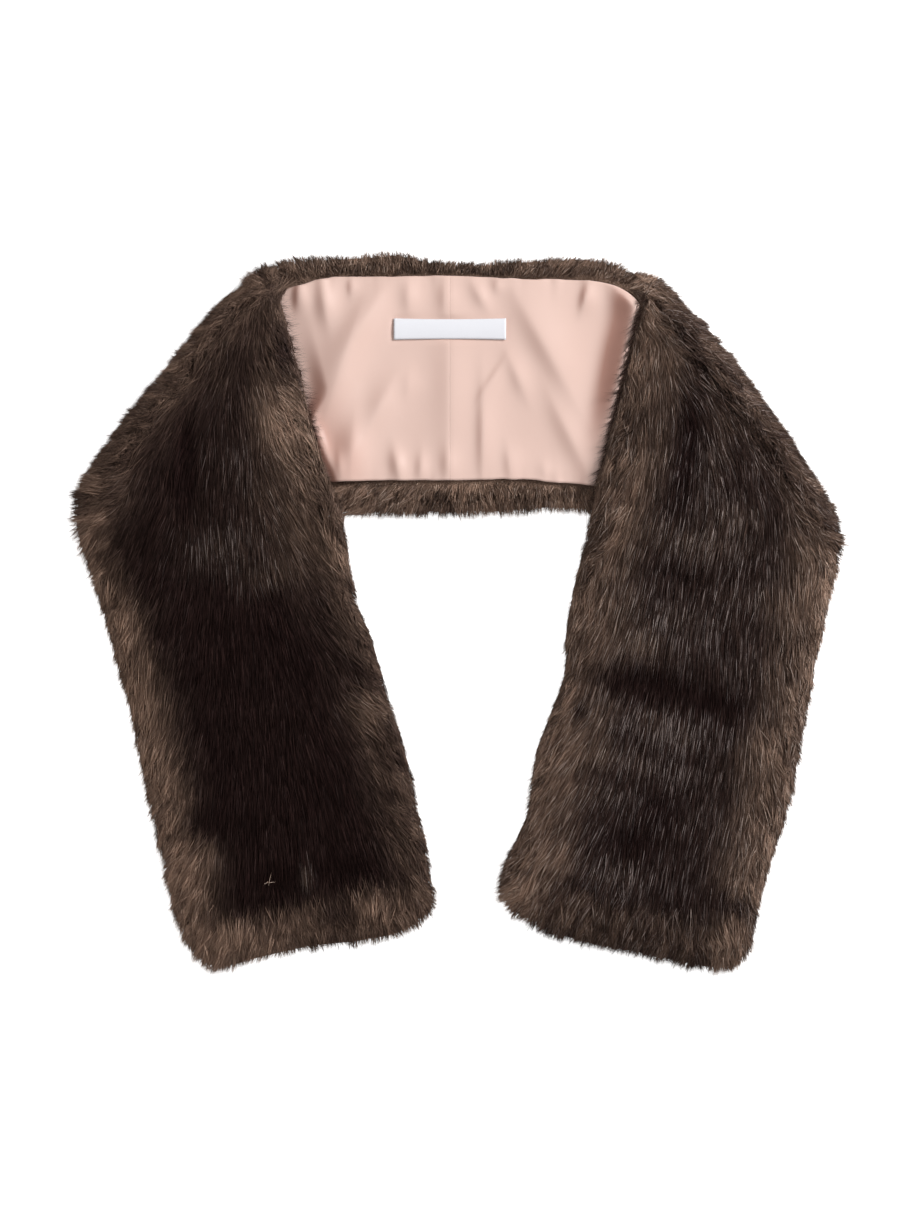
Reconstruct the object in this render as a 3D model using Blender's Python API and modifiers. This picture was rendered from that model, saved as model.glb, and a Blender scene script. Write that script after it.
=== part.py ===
"""A fur collar wrap: one long strip of deep-pile fur with a satin lining, laid lining up across its middle.
Both ends are folded over on a slant, so that they come down towards the front with the fur up.

Metres, +Z up. X runs along the middle of the strip and Y up towards the collar edge. The wrap lies on Z = 0.
The pile is part of each fur solid, so a solid reaches as far as the tips of the hair.
"""

import math
from bisect import bisect_right
from collections import namedtuple

import bmesh
import bpy

MM = 0.001

# The strip and its layers
EDGE_HEIGHT = 5 * MM  # the pile is widest this far above what it lies on
TUCK = 2.5 * MM  # and comes in this much below that
PILE_HEIGHT = 16 * MM  # lining, backing and pile, where an end lies fur up
PRESSED_HEIGHT = 11 * MM  # backing and pile of the middle, pressed fur down
RIM_HEIGHT = 15.5 * MM  # the roll of pile beside the lining's seams
HIDDEN_RIM_HEIGHT = 12.4 * MM  # the same roll where an end lies on it
LAYER_HEIGHT = 13.4 * MM  # what the ends lie on, over the middle
TUFT_HEIGHT = 0.9 * MM  # how uneven the pile is
GAP = 0.3 * MM  # between pieces that are sewn or lie on each other
CLOTH = 1.0 * MM  # wall of the lining and the label
RIM_PEAK = 0.42  # where the roll of pile is highest, as a share of its width
SEAM_CLEARANCE = 1.5 * MM  # the roll is down this far before the lining's edge

# The folds
ROLL = 14 * MM  # from the outside of a fold to the end of the layer inside it
ROLL_GAP = 0.5 * MM
ROLL_START = 12 * MM  # how far before a fold the edge begins to round up into it
ROLL_SPAN = 26 * MM  # how long it takes over that
FOLD_BULGE = 11 * MM  # height at which a fold reaches furthest out
CORNER = 9 * MM  # how softly a fold meets the strip's outer edge
MIDDLE_CORNER = 16 * MM  # how far in the middle's bottom corners are cut back, clear of the folds
KNUCKLE_DROP = 13 * MM  # how much a fold gives up in height at the collar
KNUCKLE_SLOPE = 30 * MM  # how far back that begins
KNUCKLE_STEP = 3 * MM  # how soon its underside is down there
NOSE = 5 * MM  # how far back from the collar its end is rounded
NOSE_CORNER = 5 * MM  # how far that takes in its outer edge

# How an end comes down off the middle onto the surface
UNDER_RAMP = 34 * MM
TOP_RAMP = 80 * MM
TOP_RAMP_START = 25 * MM

# The free ends
TAIL_ROUND = 20 * MM  # how far from the hem the pile reaches its height
TAIL_CORNER = 16 * MM  # how far from the hem its corners are rounded
TAIL_CORNER_DEPTH = 11 * MM  # how far that takes in each edge
HEM_BEND = 55 * MM  # how far up an end its cross sections follow the bow of the hem

# How finely the solids are cut
RING_PITCH = 11.5 * MM
TOP_STEPS = 16
MIDDLE_RINGS = 34
RIM_STEPS = 7
FLAT_STEPS = 4
LINING_PITCH = 4.1 * MM
LINING_ROWS = 15

# The lining and its label
SEAM_X = -5 * MM  # centre back seam
TUCKED_UNDER = 14 * MM  # how far the lining runs in under the ends
ROLL_CLEARANCE = 2 * MM  # and how far it stays off the folds
BARE_FROM = 2 * MM  # past an end's edge, where the middle starts to stand up
BARE_SPAN = 15 * MM  # and how long that takes
LABEL_SIZE = (71 * MM, 13.4 * MM)
LABEL_CENTRE = (-4.8 * MM, 177.4 * MM)
LABEL_CLEARANCE = 0.5 * MM
LABEL_END_RISE = 0.8 * MM  # its turned-in ends stand higher than its middle
LABEL_COLUMNS = 16
LABEL_ROWS = 4

# Both ends of the strip. tail is the middle of its free end, heading the way from there up to the collar.
# fold_outer and fold_inner are the distances from the tail at which the fold leaves the outer edge and
# reaches the inner edge, and bow is how far it swells out between them. inward is 1 where the inner edge lies
# clockwise of the heading.
End = namedtuple("End", "name tail heading inward fold_outer fold_inner bow length edges hem hollows")
Edge = namedtuple("Edge", "station inner outer")
Hem = namedtuple("Hem", "offset past")
Hollow = namedtuple("Hollow", "station offset run long wide deep")

LEFT_EDGES = [
    Edge(0 * MM, 79 * MM, 77 * MM),
    Edge(35 * MM, 83 * MM, 82 * MM),
    Edge(70 * MM, 85 * MM, 81 * MM),
    Edge(105 * MM, 85 * MM, 80 * MM),
    Edge(140 * MM, 83.5 * MM, 78.5 * MM),
    Edge(170 * MM, 82.5 * MM, 77 * MM),
    Edge(200 * MM, 79.5 * MM, 77.5 * MM),
    Edge(245 * MM, 83.5 * MM, 79 * MM),
    Edge(280 * MM, 81.5 * MM, 81.5 * MM),
    Edge(330 * MM, 80.5 * MM, 80 * MM),
    Edge(430 * MM, 79 * MM, 80 * MM),
]
RIGHT_EDGES = [
    Edge(0 * MM, 80 * MM, 79 * MM),
    Edge(25 * MM, 82.5 * MM, 80 * MM),
    Edge(58 * MM, 76.5 * MM, 80.5 * MM),
    Edge(90 * MM, 80 * MM, 82.5 * MM),
    Edge(120 * MM, 77.5 * MM, 83 * MM),
    Edge(150 * MM, 74.5 * MM, 81.5 * MM),
    Edge(182 * MM, 80 * MM, 79.5 * MM),
    Edge(228 * MM, 81.5 * MM, 78.5 * MM),
    Edge(265 * MM, 82.5 * MM, 77.5 * MM),
    Edge(330 * MM, 83 * MM, 78 * MM),
    Edge(430 * MM, 83 * MM, 80 * MM),
]
# How far the free ends hang past their straight line
LEFT_HEM = [
    Hem(-80 * MM, 0 * MM),
    Hem(-58 * MM, 6.5 * MM),
    Hem(-26 * MM, 3.5 * MM),
    Hem(6 * MM, 7.5 * MM),
    Hem(38 * MM, 11.5 * MM),
    Hem(64 * MM, 9 * MM),
    Hem(80 * MM, 2 * MM),
]
RIGHT_HEM = [
    Hem(-80 * MM, 1 * MM),
    Hem(-58 * MM, 8 * MM),
    Hem(-20 * MM, 9.5 * MM),
    Hem(16 * MM, 11.5 * MM),
    Hem(46 * MM, 13.5 * MM),
    Hem(64 * MM, 9 * MM),
    Hem(80 * MM, 0 * MM),
]
# Soft dips in the pile, placed from the tail, with run in degrees from across the strip
LEFT_HOLLOWS = [
    Hollow(43 * MM, -18 * MM, 0, 46 * MM, 15 * MM, 2.6 * MM),
    Hollow(215 * MM, -14 * MM, 80, 120 * MM, 34 * MM, 2.0 * MM),
    Hollow(120 * MM, 40 * MM, 95, 70 * MM, 16 * MM, 1.6 * MM),
    Hollow(330 * MM, 20 * MM, 70, 60 * MM, 18 * MM, 1.6 * MM),
]
RIGHT_HOLLOWS = [
    Hollow(158 * MM, 12 * MM, 8, 74 * MM, 15 * MM, 2.8 * MM),
    Hollow(58 * MM, -22 * MM, 40, 60 * MM, 16 * MM, 2.2 * MM),
    Hollow(262 * MM, -20 * MM, -12, 70 * MM, 20 * MM, 2.0 * MM),
    Hollow(350 * MM, 26 * MM, 100, 60 * MM, 16 * MM, 1.8 * MM),
]
LEFT_END = End(
    name="fur_end_left",
    tail=(-91 * MM, -205.4 * MM),
    heading=104.5,
    inward=1,
    fold_outer=310 * MM,
    fold_inner=426 * MM,
    bow=4 * MM,
    length=418 * MM,
    edges=LEFT_EDGES,
    hem=LEFT_HEM,
    hollows=LEFT_HOLLOWS,
)
RIGHT_END = End(
    name="fur_end_right",
    tail=(104.3 * MM, -204.8 * MM),
    heading=76.4,
    inward=-1,
    fold_outer=280.5 * MM,
    fold_inner=414 * MM,
    bow=8 * MM,
    length=409 * MM,
    edges=RIGHT_EDGES,
    hem=RIGHT_HEM,
    hollows=RIGHT_HOLLOWS,
)

# The middle of the strip, from left to right: its two edges and the two seams of the lining
Middle = namedtuple("Middle", "x bottom seam_bottom seam_top top")
MIDDLE = [
    Middle(-246 * MM, 61 * MM, 80 * MM, 205 * MM, 219 * MM),
    Middle(-110 * MM, 59.5 * MM, 79 * MM, 204 * MM, 223 * MM),
    Middle(-88 * MM, 59 * MM, 79 * MM, 209 * MM, 223.5 * MM),
    Middle(-60 * MM, 58.5 * MM, 79 * MM, 210.5 * MM, 224.5 * MM),
    Middle(-34 * MM, 58 * MM, 79 * MM, 211 * MM, 226.5 * MM),
    Middle(-20 * MM, 59 * MM, 80 * MM, 211.5 * MM, 222.5 * MM),
    Middle(5 * MM, 58.5 * MM, 82 * MM, 210.8 * MM, 221 * MM),
    Middle(37 * MM, 60 * MM, 82.3 * MM, 209.5 * MM, 221.5 * MM),
    Middle(62 * MM, 62 * MM, 80.5 * MM, 209 * MM, 222.5 * MM),
    Middle(84 * MM, 59.5 * MM, 78.5 * MM, 208 * MM, 222.5 * MM),
    Middle(104 * MM, 57.5 * MM, 77.5 * MM, 202 * MM, 219 * MM),
    Middle(122 * MM, 56.5 * MM, 77 * MM, 197 * MM, 213 * MM),
    Middle(246 * MM, 50 * MM, 70 * MM, 186 * MM, 206 * MM),
]

# Ridges in the lining: long soft folds over it, and the gathers along its two seams.
# run is in degrees from +X.
Ridge = namedtuple("Ridge", "x y run long wide high")
RIDGES = [
    Ridge(-66 * MM, 166 * MM, 69, 74 * MM, 15 * MM, 3.0 * MM),
    Ridge(-44 * MM, 124 * MM, 64, 76 * MM, 13 * MM, 2.3 * MM),
    Ridge(52 * MM, 172 * MM, -62, 78 * MM, 14 * MM, 2.9 * MM),
    Ridge(68 * MM, 116 * MM, -66, 60 * MM, 15 * MM, 2.0 * MM),
    Ridge(6 * MM, 122 * MM, 87, 76 * MM, 13 * MM, 1.7 * MM),
    Ridge(34 * MM, 132 * MM, 62, 56 * MM, 12 * MM, 1.6 * MM),
    Ridge(94 * MM, 160 * MM, 80, 60 * MM, 14 * MM, 2.2 * MM),
    Ridge(-92 * MM, 150 * MM, 100, 60 * MM, 12 * MM, 1.4 * MM),
    Ridge(-96 * MM, 198 * MM, 80, 22 * MM, 7 * MM, 2.0 * MM),
    Ridge(-80 * MM, 200 * MM, 92, 30 * MM, 8 * MM, 1.9 * MM),
    Ridge(-61 * MM, 203 * MM, 86, 20 * MM, 8 * MM, 1.4 * MM),
    Ridge(-38 * MM, 202 * MM, 96, 26 * MM, 9 * MM, 1.2 * MM),
    Ridge(-16 * MM, 205 * MM, 84, 18 * MM, 7 * MM, 1.0 * MM),
    Ridge(4 * MM, 203 * MM, 88, 22 * MM, 7 * MM, 1.5 * MM),
    Ridge(18 * MM, 201 * MM, 106, 26 * MM, 7 * MM, 1.6 * MM),
    Ridge(40 * MM, 203 * MM, 90, 18 * MM, 9 * MM, 0.9 * MM),
    Ridge(73 * MM, 200 * MM, 96, 28 * MM, 8 * MM, 1.8 * MM),
    Ridge(89 * MM, 197 * MM, 88, 28 * MM, 8 * MM, 2.1 * MM),
    Ridge(-70 * MM, 87 * MM, 98, 20 * MM, 7 * MM, 1.8 * MM),
    Ridge(-53 * MM, 88 * MM, 84, 24 * MM, 7 * MM, 2.0 * MM),
    Ridge(-36 * MM, 88 * MM, 100, 22 * MM, 8 * MM, 1.5 * MM),
    Ridge(-20 * MM, 91 * MM, 92, 34 * MM, 8 * MM, 1.6 * MM),
    Ridge(2 * MM, 94 * MM, 86, 40 * MM, 8 * MM, 1.5 * MM),
    Ridge(20 * MM, 93 * MM, 82, 36 * MM, 8 * MM, 1.4 * MM),
    Ridge(38 * MM, 92 * MM, 96, 26 * MM, 9 * MM, 1.1 * MM),
    Ridge(60 * MM, 89 * MM, 104, 24 * MM, 10 * MM, 1.0 * MM),
]


def eased(share):
    share = min(max(share, 0.0), 1.0)
    return share * share * (3 - 2 * share)


def soft_least(a, b, reach):
    """The smaller of two lengths, rounded where they cross."""
    return (a + b - math.sqrt((a - b) ** 2 + reach**2)) / 2


def reading(table, column, at):
    """One column of a table, read at a place in its first column on a smooth curve through its rows."""
    places = [row[0] for row in table]
    values = [getattr(row, column) for row in table]
    at = min(max(at, places[0]), places[-1])
    k = min(bisect_right(places, at) - 1, len(places) - 2)

    def slope(i):
        before, after = max(i - 1, 0), min(i + 1, len(places) - 1)
        return (values[after] - values[before]) / (places[after] - places[before])

    span = places[k + 1] - places[k]
    t = (at - places[k]) / span
    return (
        values[k] * (1 + 2 * t) * (1 - t) ** 2
        + slope(k) * span * t * (1 - t) ** 2
        + values[k + 1] * t * t * (3 - 2 * t)
        - slope(k + 1) * span * t * t * (1 - t)
    )


def mound(x, y, run, long, wide):
    """1 at the middle of a long soft mound that runs at an angle, falling to 0 all round.
    x and y are counted from there.
    """
    along = x * math.cos(math.radians(run)) + y * math.sin(math.radians(run))
    across = y * math.cos(math.radians(run)) - x * math.sin(math.radians(run))
    return math.exp(-((2 * along / long) ** 2) * 1.5 - ((2 * across / wide) ** 2) * 1.5)


def tufts(x, y):
    """The pile's own unevenness, from -1 to 1: locks of hair that lean together."""
    return (
        0.45 * math.sin(x / (5.3 * MM) + 1.7 * math.sin(y / (19 * MM)))
        + 0.35 * math.sin(y / (7.1 * MM) - 1.1 * math.sin(x / (13 * MM)) + 2.0)
        + 0.20 * math.sin((x + y) / (3.9 * MM) + 0.6)
    )


# ---- The two ends ----


def end_place(end, station, offset):
    """The plan point at a distance from the tail, and at an offset towards the inner edge."""
    heading = math.radians(end.heading)
    up = (math.cos(heading), math.sin(heading))
    inner = (up[1] * end.inward, -up[0] * end.inward)
    return (
        end.tail[0] + station * up[0] + offset * inner[0],
        end.tail[1] + station * up[1] + offset * inner[1],
    )


def end_reading(end, x, y):
    """The station and the offset of a plan point: end_place the other way round."""
    heading = math.radians(end.heading)
    up = (math.cos(heading), math.sin(heading))
    inner = (up[1] * end.inward, -up[0] * end.inward)
    dx, dy = x - end.tail[0], y - end.tail[1]
    return dx * up[0] + dy * up[1], dx * inner[0] + dy * inner[1]


def fold_offset(end, station):
    """Where the fold crosses the strip, as an offset. The fold runs straight from edge to edge."""
    half = (end.edges[0].inner + end.edges[0].outer) / 2
    share = (station - end.fold_outer) / (end.fold_inner - end.fold_outer)
    return half * (2 * share - 1)


def roll_along(end):
    """The roll's depth measured across the strip, which the fold crosses on a slant."""
    run = end.fold_inner - end.fold_outer
    width = end.edges[0].inner + end.edges[0].outer
    return ROLL * math.hypot(run, width) / run


def free_inner_edge(end, station):
    """Offset of the inner edge where nothing is in its way."""
    return reading(end.edges, "inner", station) + TUFT_HEIGHT * tufts(station, 0)


def inner_edge(end, station):
    """Offset of the inner edge. Past the knuckle it is the inner side of the fold's roll."""
    inner = free_inner_edge(end, station)
    return max(inner, fold_offset(end, station) + roll_along(end)) - tail_corner(station)


def knuckle(end):
    """The station at which the fold's roll has taken up all that the end covers of the middle."""
    half = (end.edges[0].inner + end.edges[0].outer) / 2
    station = end.fold_inner
    for _ in range(12):
        share = ((free_inner_edge(end, station) - roll_along(end)) / half + 1) / 2
        station = end.fold_outer + share * (end.fold_inner - end.fold_outer)
    return station


def outer_edge(end, station):
    """Offset of the outer edge, and of the fold once it has cut the edge off."""
    outer = -reading(end.edges, "outer", station) - TUFT_HEIGHT * tufts(station, 90 * MM)
    share = min(max((station - end.fold_outer) / (end.fold_inner - end.fold_outer), 0.0), 1.0)
    fold = fold_offset(end, station) - end.bow * 4 * share * (1 - share)
    rounding = tail_corner(station) + NOSE_CORNER * (1 - nose(end, station))
    return rounding - soft_least(-outer, -fold, CORNER)


def tail_corner(station):
    """How far the rounded corners of the tail take each edge in."""
    short = max(1 - station / TAIL_CORNER, 0)
    return TAIL_CORNER_DEPTH * (1 - math.sqrt(1 - short**2))


def nose(end, station):
    """Rounding of an end at the collar: 1 along the end, falling to 0 at its last ring."""
    back = min((end.length - station) / NOSE, 1)
    return math.sqrt(1 - (1 - back) ** 2)


def hemmed_place(end, station, offset):
    """A plan point of an end whose cross sections follow the bow of its hem near the tail."""
    past = reading(end.hem, "past", offset) * (1 - eased(station / HEM_BEND))
    return end_place(end, station - past, offset)


def past_middle(x, y):
    """How far a plan point lies in front of the middle's bottom edge."""
    return reading(MIDDLE, "bottom", x) - y


def under_lift(x, y):
    return LAYER_HEIGHT * (1 - eased(past_middle(x, y) / UNDER_RAMP))


def top_lift(x, y):
    return LAYER_HEIGHT * (1 - eased((past_middle(x, y) + TOP_RAMP_START) / TOP_RAMP))


def pile_top(end, station, offset):
    """Height of the pile above what the end lies on, away from its edges."""
    height = PILE_HEIGHT + TUFT_HEIGHT * tufts(station, offset)
    for hollow in end.hollows:
        height -= hollow.deep * mound(
            offset - hollow.offset, station - hollow.station, hollow.run, hollow.long, hollow.wide
        )
    return height


def end_ring(end, station):
    """One closed section across an end: over the top from the inner edge out, then back underneath."""
    inner, outer = inner_edge(end, station), outer_edge(end, station)
    past_knuckle = station - knuckle(end)
    folded = eased((station - end.fold_outer + ROLL_START) / ROLL_SPAN)
    lifted = 1 - eased(past_knuckle / KNUCKLE_STEP)
    tail = math.sqrt(1 - (1 - min(station / TAIL_ROUND, 1)) ** 2)
    fallen = (past_knuckle + KNUCKLE_SLOPE) / (end.length - knuckle(end) + KNUCKLE_SLOPE)
    drop = KNUCKLE_DROP * eased(fallen) ** 2
    ring = []
    for k in range(TOP_STEPS + 1):
        share = (1 - math.cos(math.pi * k / TOP_STEPS)) / 2
        offset = inner + share * (outer - inner)
        x, y = hemmed_place(end, station, offset)
        at_inner = under_lift(x, y) * lifted + EDGE_HEIGHT
        at_outer = (under_lift(x, y) + EDGE_HEIGHT) * (1 - folded) + FOLD_BULGE * folded
        edge = at_inner + (at_outer - at_inner) * eased(share)
        crown = top_lift(x, y) + pile_top(end, station, offset) - drop
        dome = (1 - abs(2 * share - 1) ** 3) ** (1 / 3)
        ring.append((x, y, edge + (crown - edge) * dome * tail * nose(end, station)))
    step = min(max(fold_offset(end, station) + roll_along(end), outer + TUCK + 3 * MM), inner - TUCK - 2 * MM)
    tucked = inner - TUCK
    under = [(outer + TUCK, 0), ((outer + TUCK + step) / 2, 0), (step - 1 * MM, 0)]
    under += [(step + (tucked - step) * k / 5, 1) for k in range(6)]
    for offset, above in under:
        x, y = hemmed_place(end, station, offset)
        lift = under_lift(x, y) * lifted
        ring.append((x, y, lift if above else lift * (1 - folded)))
    return ring


def fur_end(end):
    """A loft along one end, with a ring exactly where its underside comes down past the middle."""
    down = knuckle(end)
    count = round(down / RING_PITCH)
    stations = [0.0, 1.5 * MM, 5 * MM] + [down * k / count for k in range(1, count + 1)]
    stations += [down + KNUCKLE_STEP]
    stations += [end.length - NOSE * back for back in (0.6, 0.25, 0.06, 0.0)]
    return loft(end.name, [end_ring(end, station) for station in stations])


# ---- The middle of the strip ----


def end_line_x(end, y, inside):
    """X at which a line parallel to a fold, that far inside it, has this Y."""
    width = end.edges[0].inner + end.edges[0].outer
    a = end_place(end, end.fold_outer, -width / 2)
    b = end_place(end, end.fold_inner, width / 2)
    x = a[0] + (b[0] - a[0]) * (y - a[1]) / (b[1] - a[1])
    return x + end.inward * inside * math.dist(a, b) / abs(b[1] - a[1])


def showing(x, y):
    """1 where the middle shows between the two ends, 0 from an end's inner edge on."""
    shown = 1.0
    for end in (LEFT_END, RIGHT_END):
        station, offset = end_reading(end, x, y)
        shown *= eased((offset - inner_edge(end, station) - BARE_FROM) / BARE_SPAN)
    return shown


def middle_point(share_x, lower, upper, share_y):
    """A plan point of the middle: share_x from the left fold to the right, share_y from one line to another.
    The lines are columns of the table.
    """
    x, y = 0.0, 140 * MM
    for _ in range(8):
        corner = max(0.0, MIDDLE_CORNER - (y - reading(MIDDLE, "bottom", x))) ** 2 / (1.5 * MIDDLE_CORNER)
        left = end_line_x(LEFT_END, y, ROLL + ROLL_GAP) + corner
        right = end_line_x(RIGHT_END, y, ROLL + ROLL_GAP) - corner
        x = left + (right - left) * share_x
        low, high = reading(MIDDLE, lower, x), reading(MIDDLE, upper, x)
        y = low + share_y * (high - low)
    return x, y


def rim(depth, width, crest):
    """Height of the roll of pile at a depth in from the edge. It ends at the seam, at width."""
    width -= SEAM_CLEARANCE
    peak = RIM_PEAK * width
    if depth < peak:
        return EDGE_HEIGHT + (crest - EDGE_HEIGHT) * math.sin(math.pi / 2 * max(depth, 0) / peak) ** 0.7
    if depth < width:
        fall = (depth - peak) / (width - peak)
        return PRESSED_HEIGHT + (crest - PRESSED_HEIGHT) * math.cos(math.pi / 2 * fall) ** 2
    return PRESSED_HEIGHT


def middle_top(x, y):
    """Height of the middle's upper side: a roll of pile along each edge and the fur's flat back between."""
    crest = HIDDEN_RIM_HEIGHT + (RIM_HEIGHT + TUFT_HEIGHT * tufts(x, y) - HIDDEN_RIM_HEIGHT) * showing(x, y)
    low, high = reading(MIDDLE, "bottom", x), reading(MIDDLE, "top", x)
    low_seam, high_seam = reading(MIDDLE, "seam_bottom", x), reading(MIDDLE, "seam_top", x)
    return max(rim(y - low, low_seam - low, crest), rim(high - y, high - high_seam, crest))


def middle_ring(share_x):
    """One closed section of the middle: across the top from the bottom edge, then back along the floor."""
    rim_shares = [(1 - math.cos(math.pi * k / RIM_STEPS)) / 2 for k in range(RIM_STEPS)]
    flat_shares = [k / FLAT_STEPS for k in range(FLAT_STEPS)]
    places = [middle_point(share_x, "bottom", "seam_bottom", share) for share in rim_shares]
    places += [middle_point(share_x, "seam_bottom", "seam_top", share) for share in flat_shares]
    places += [middle_point(share_x, "seam_top", "top", share) for share in rim_shares + [1.0]]
    ring = [(x, y, middle_top(x, y)) for x, y in places]
    for share_y in (0.985, 0.75, 0.5, 0.25, 0.015):
        x, y = middle_point(share_x, "bottom", "top", share_y)
        ring.append((x, y, 0.0))
    return ring


def fur_middle():
    rings = [middle_ring(k / MIDDLE_RINGS) for k in range(MIDDLE_RINGS + 1)]
    return loft("fur_middle", rings)


# ---- The lining and the label ----


def folds(x, y):
    """Height of the lining's ridges. They die out under the ends, where they are pressed flat."""
    height = sum(r.high * mound(x - r.x, y - r.y, r.run, r.long, r.wide) for r in RIDGES)
    return height * showing(x, y)


def lining_under(x, y):
    return PRESSED_HEIGHT + GAP + folds(x, y)


def lining_end_x(end, y):
    """Where the lining stops under an end, clear of the roll of the fold."""
    station, _ = end_reading(end, 0.0, y)
    for _ in range(4):
        x, _ = end_place(end, station, inner_edge(end, station) - TUCKED_UNDER)
        station, _ = end_reading(end, x, y)
    roll = end_line_x(end, y, ROLL + ROLL_CLEARANCE)
    return max(x, roll) if end.inward > 0 else min(x, roll)


def lining_half(name, end):
    """Half of the lining, from the centre back seam to under one end."""

    def place(share_x, share_y):
        y = reading(MIDDLE, "seam_bottom", SEAM_X)
        for _ in range(6):
            near = SEAM_X - end.inward * GAP / 2
            x = near + share_x * (lining_end_x(end, y) - near)
            low = reading(MIDDLE, "seam_bottom", x) + GAP
            high = reading(MIDDLE, "seam_top", x) - GAP
            y = low + (high - low) * share_y
        return x, y, lining_under(x, y)

    columns = round(abs(lining_end_x(end, 140 * MM) - SEAM_X) / LINING_PITCH)
    return panel(name, columns, LINING_ROWS, place)


def label():
    """A plain woven tape with its ends turned in, lying on the lining."""
    wide, high = LABEL_SIZE

    def place(share_x, share_y):
        x = LABEL_CENTRE[0] + (share_x - 0.5) * wide
        y = LABEL_CENTRE[1] + (share_y - 0.5) * high
        rise = LABEL_END_RISE * abs(2 * share_x - 1) ** 4
        return x, y, lining_under(x, y) + CLOTH + LABEL_CLEARANCE + rise

    return panel("label", LABEL_COLUMNS, LABEL_ROWS, place)


# ---- Making the objects ----


def loft(name, rings):
    """A closed solid through rings that all have the same number of points."""
    mesh = bmesh.new()
    rows = [[mesh.verts.new(point) for point in ring] for ring in rings]
    count = len(rows[0])
    for row, following in zip(rows, rows[1:]):
        for k in range(count):
            after = (k + 1) % count
            mesh.faces.new((row[k], row[after], following[after], following[k]))
    mesh.faces.new(rows[0])
    mesh.faces.new(reversed(rows[-1]))
    bmesh.ops.recalc_face_normals(mesh, faces=mesh.faces)
    return made(name, mesh)


def panel(name, columns, rows, place):
    """A cloth wall: a grid put in place point by point, then given its thickness upwards."""
    mesh = bmesh.new()
    bmesh.ops.create_grid(mesh, x_segments=columns, y_segments=rows, size=0.5)
    for vert in mesh.verts:
        vert.co = place(vert.co.x + 0.5, vert.co.y + 0.5)
    bmesh.ops.recalc_face_normals(mesh, faces=mesh.faces)
    if sum(face.normal.z for face in mesh.faces) < 0:
        bmesh.ops.reverse_faces(mesh, faces=mesh.faces)
    obj = made(name, mesh)
    wall = obj.modifiers.new("wall", "SOLIDIFY")
    wall.thickness = CLOTH
    wall.offset = 1
    return obj


def made(name, mesh):
    data = bpy.data.meshes.new(name)
    mesh.to_mesh(data)
    mesh.free()
    data.shade_smooth()
    data.set_sharp_from_angle(angle=math.radians(50))
    return bpy.data.objects.new(name, data)


def material(name, colour, roughness, sheen):
    """A plain cloth finish. colour is linear red, green and blue."""
    made_of = bpy.data.materials.new(name)
    made_of.use_nodes = True
    shader = made_of.node_tree.nodes["Principled BSDF"]
    shader.inputs["Base Color"].default_value = (*colour, 1)
    shader.inputs["Roughness"].default_value = roughness
    shader.inputs["Metallic"].default_value = 0
    shader.inputs["Sheen Weight"].default_value = sheen
    made_of.diffuse_color = (*colour, 1)
    return made_of


def main():
    for obj in list(bpy.data.objects):
        bpy.data.objects.remove(obj)
    fur = material("dark_fur", (0.030, 0.021, 0.017), 0.75, 0.4)
    satin = material("rose_satin", (0.70, 0.46, 0.39), 0.38, 0.2)
    tape = material("white_tape", (0.86, 0.86, 0.90), 0.6, 0.1)
    wrap = bpy.data.collections.new("fur_collar_wrap")
    bpy.context.scene.collection.children.link(wrap)
    pieces = [
        (fur_middle(), fur),
        (fur_end(LEFT_END), fur),
        (fur_end(RIGHT_END), fur),
        (lining_half("lining_left", LEFT_END), satin),
        (lining_half("lining_right", RIGHT_END), satin),
        (label(), tape),
    ]
    for obj, finish in pieces:
        obj.data.materials.append(finish)
        wrap.objects.link(obj)


main()
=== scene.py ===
import math
from collections import namedtuple
from functools import partial

import bpy
import numpy as np
from mathutils.bvhtree import BVHTree
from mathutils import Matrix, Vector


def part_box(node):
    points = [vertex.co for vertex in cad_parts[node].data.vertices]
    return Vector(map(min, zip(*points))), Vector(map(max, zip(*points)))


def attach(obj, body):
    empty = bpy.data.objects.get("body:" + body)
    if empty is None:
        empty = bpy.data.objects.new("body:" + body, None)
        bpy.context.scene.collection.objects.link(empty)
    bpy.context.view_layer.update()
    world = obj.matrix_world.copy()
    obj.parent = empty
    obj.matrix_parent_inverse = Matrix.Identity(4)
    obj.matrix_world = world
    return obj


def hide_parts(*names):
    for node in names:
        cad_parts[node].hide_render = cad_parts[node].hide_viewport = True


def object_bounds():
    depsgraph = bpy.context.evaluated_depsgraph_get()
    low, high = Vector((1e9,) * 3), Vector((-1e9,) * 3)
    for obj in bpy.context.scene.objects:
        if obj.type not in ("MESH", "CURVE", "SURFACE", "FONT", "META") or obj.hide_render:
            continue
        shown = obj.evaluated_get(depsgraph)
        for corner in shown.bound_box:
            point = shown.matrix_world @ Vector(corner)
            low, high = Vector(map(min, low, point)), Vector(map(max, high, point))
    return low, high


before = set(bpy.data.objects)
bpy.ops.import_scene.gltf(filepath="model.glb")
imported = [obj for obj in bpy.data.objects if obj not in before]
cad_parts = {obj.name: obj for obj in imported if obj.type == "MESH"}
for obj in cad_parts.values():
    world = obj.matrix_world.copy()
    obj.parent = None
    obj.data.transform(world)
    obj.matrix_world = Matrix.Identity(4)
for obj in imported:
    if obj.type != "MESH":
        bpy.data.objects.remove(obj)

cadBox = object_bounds()
mm = 0.001

# A soft patch on an end, placed from the tail in mm, with its run in degrees from along the end.
# coat goes towards taupe or, below 0, towards black. Some patches are the coat's own tone; others are
# painted light and painted shade (lit bands, shadowed pits and creases). The next value is the share of
# hairs with a painted highlight, and dip how deep the pile parts there, in mm.
Patch = namedtuple("Patch", "station offset run long wide coat frost dip", defaults=(0, 0))

# How far the hair reaches out over each edge of an end, in mm. At the foot of the lining it is liningFoot
Reach = namedtuple("Reach", "outer inner fold hemOuter hemInner lining liningFoot")

# A place along the edge of an end where the hair reaches out further, in mm
Tuft = namedtuple("Tuft", "station offset wide further")

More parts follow.
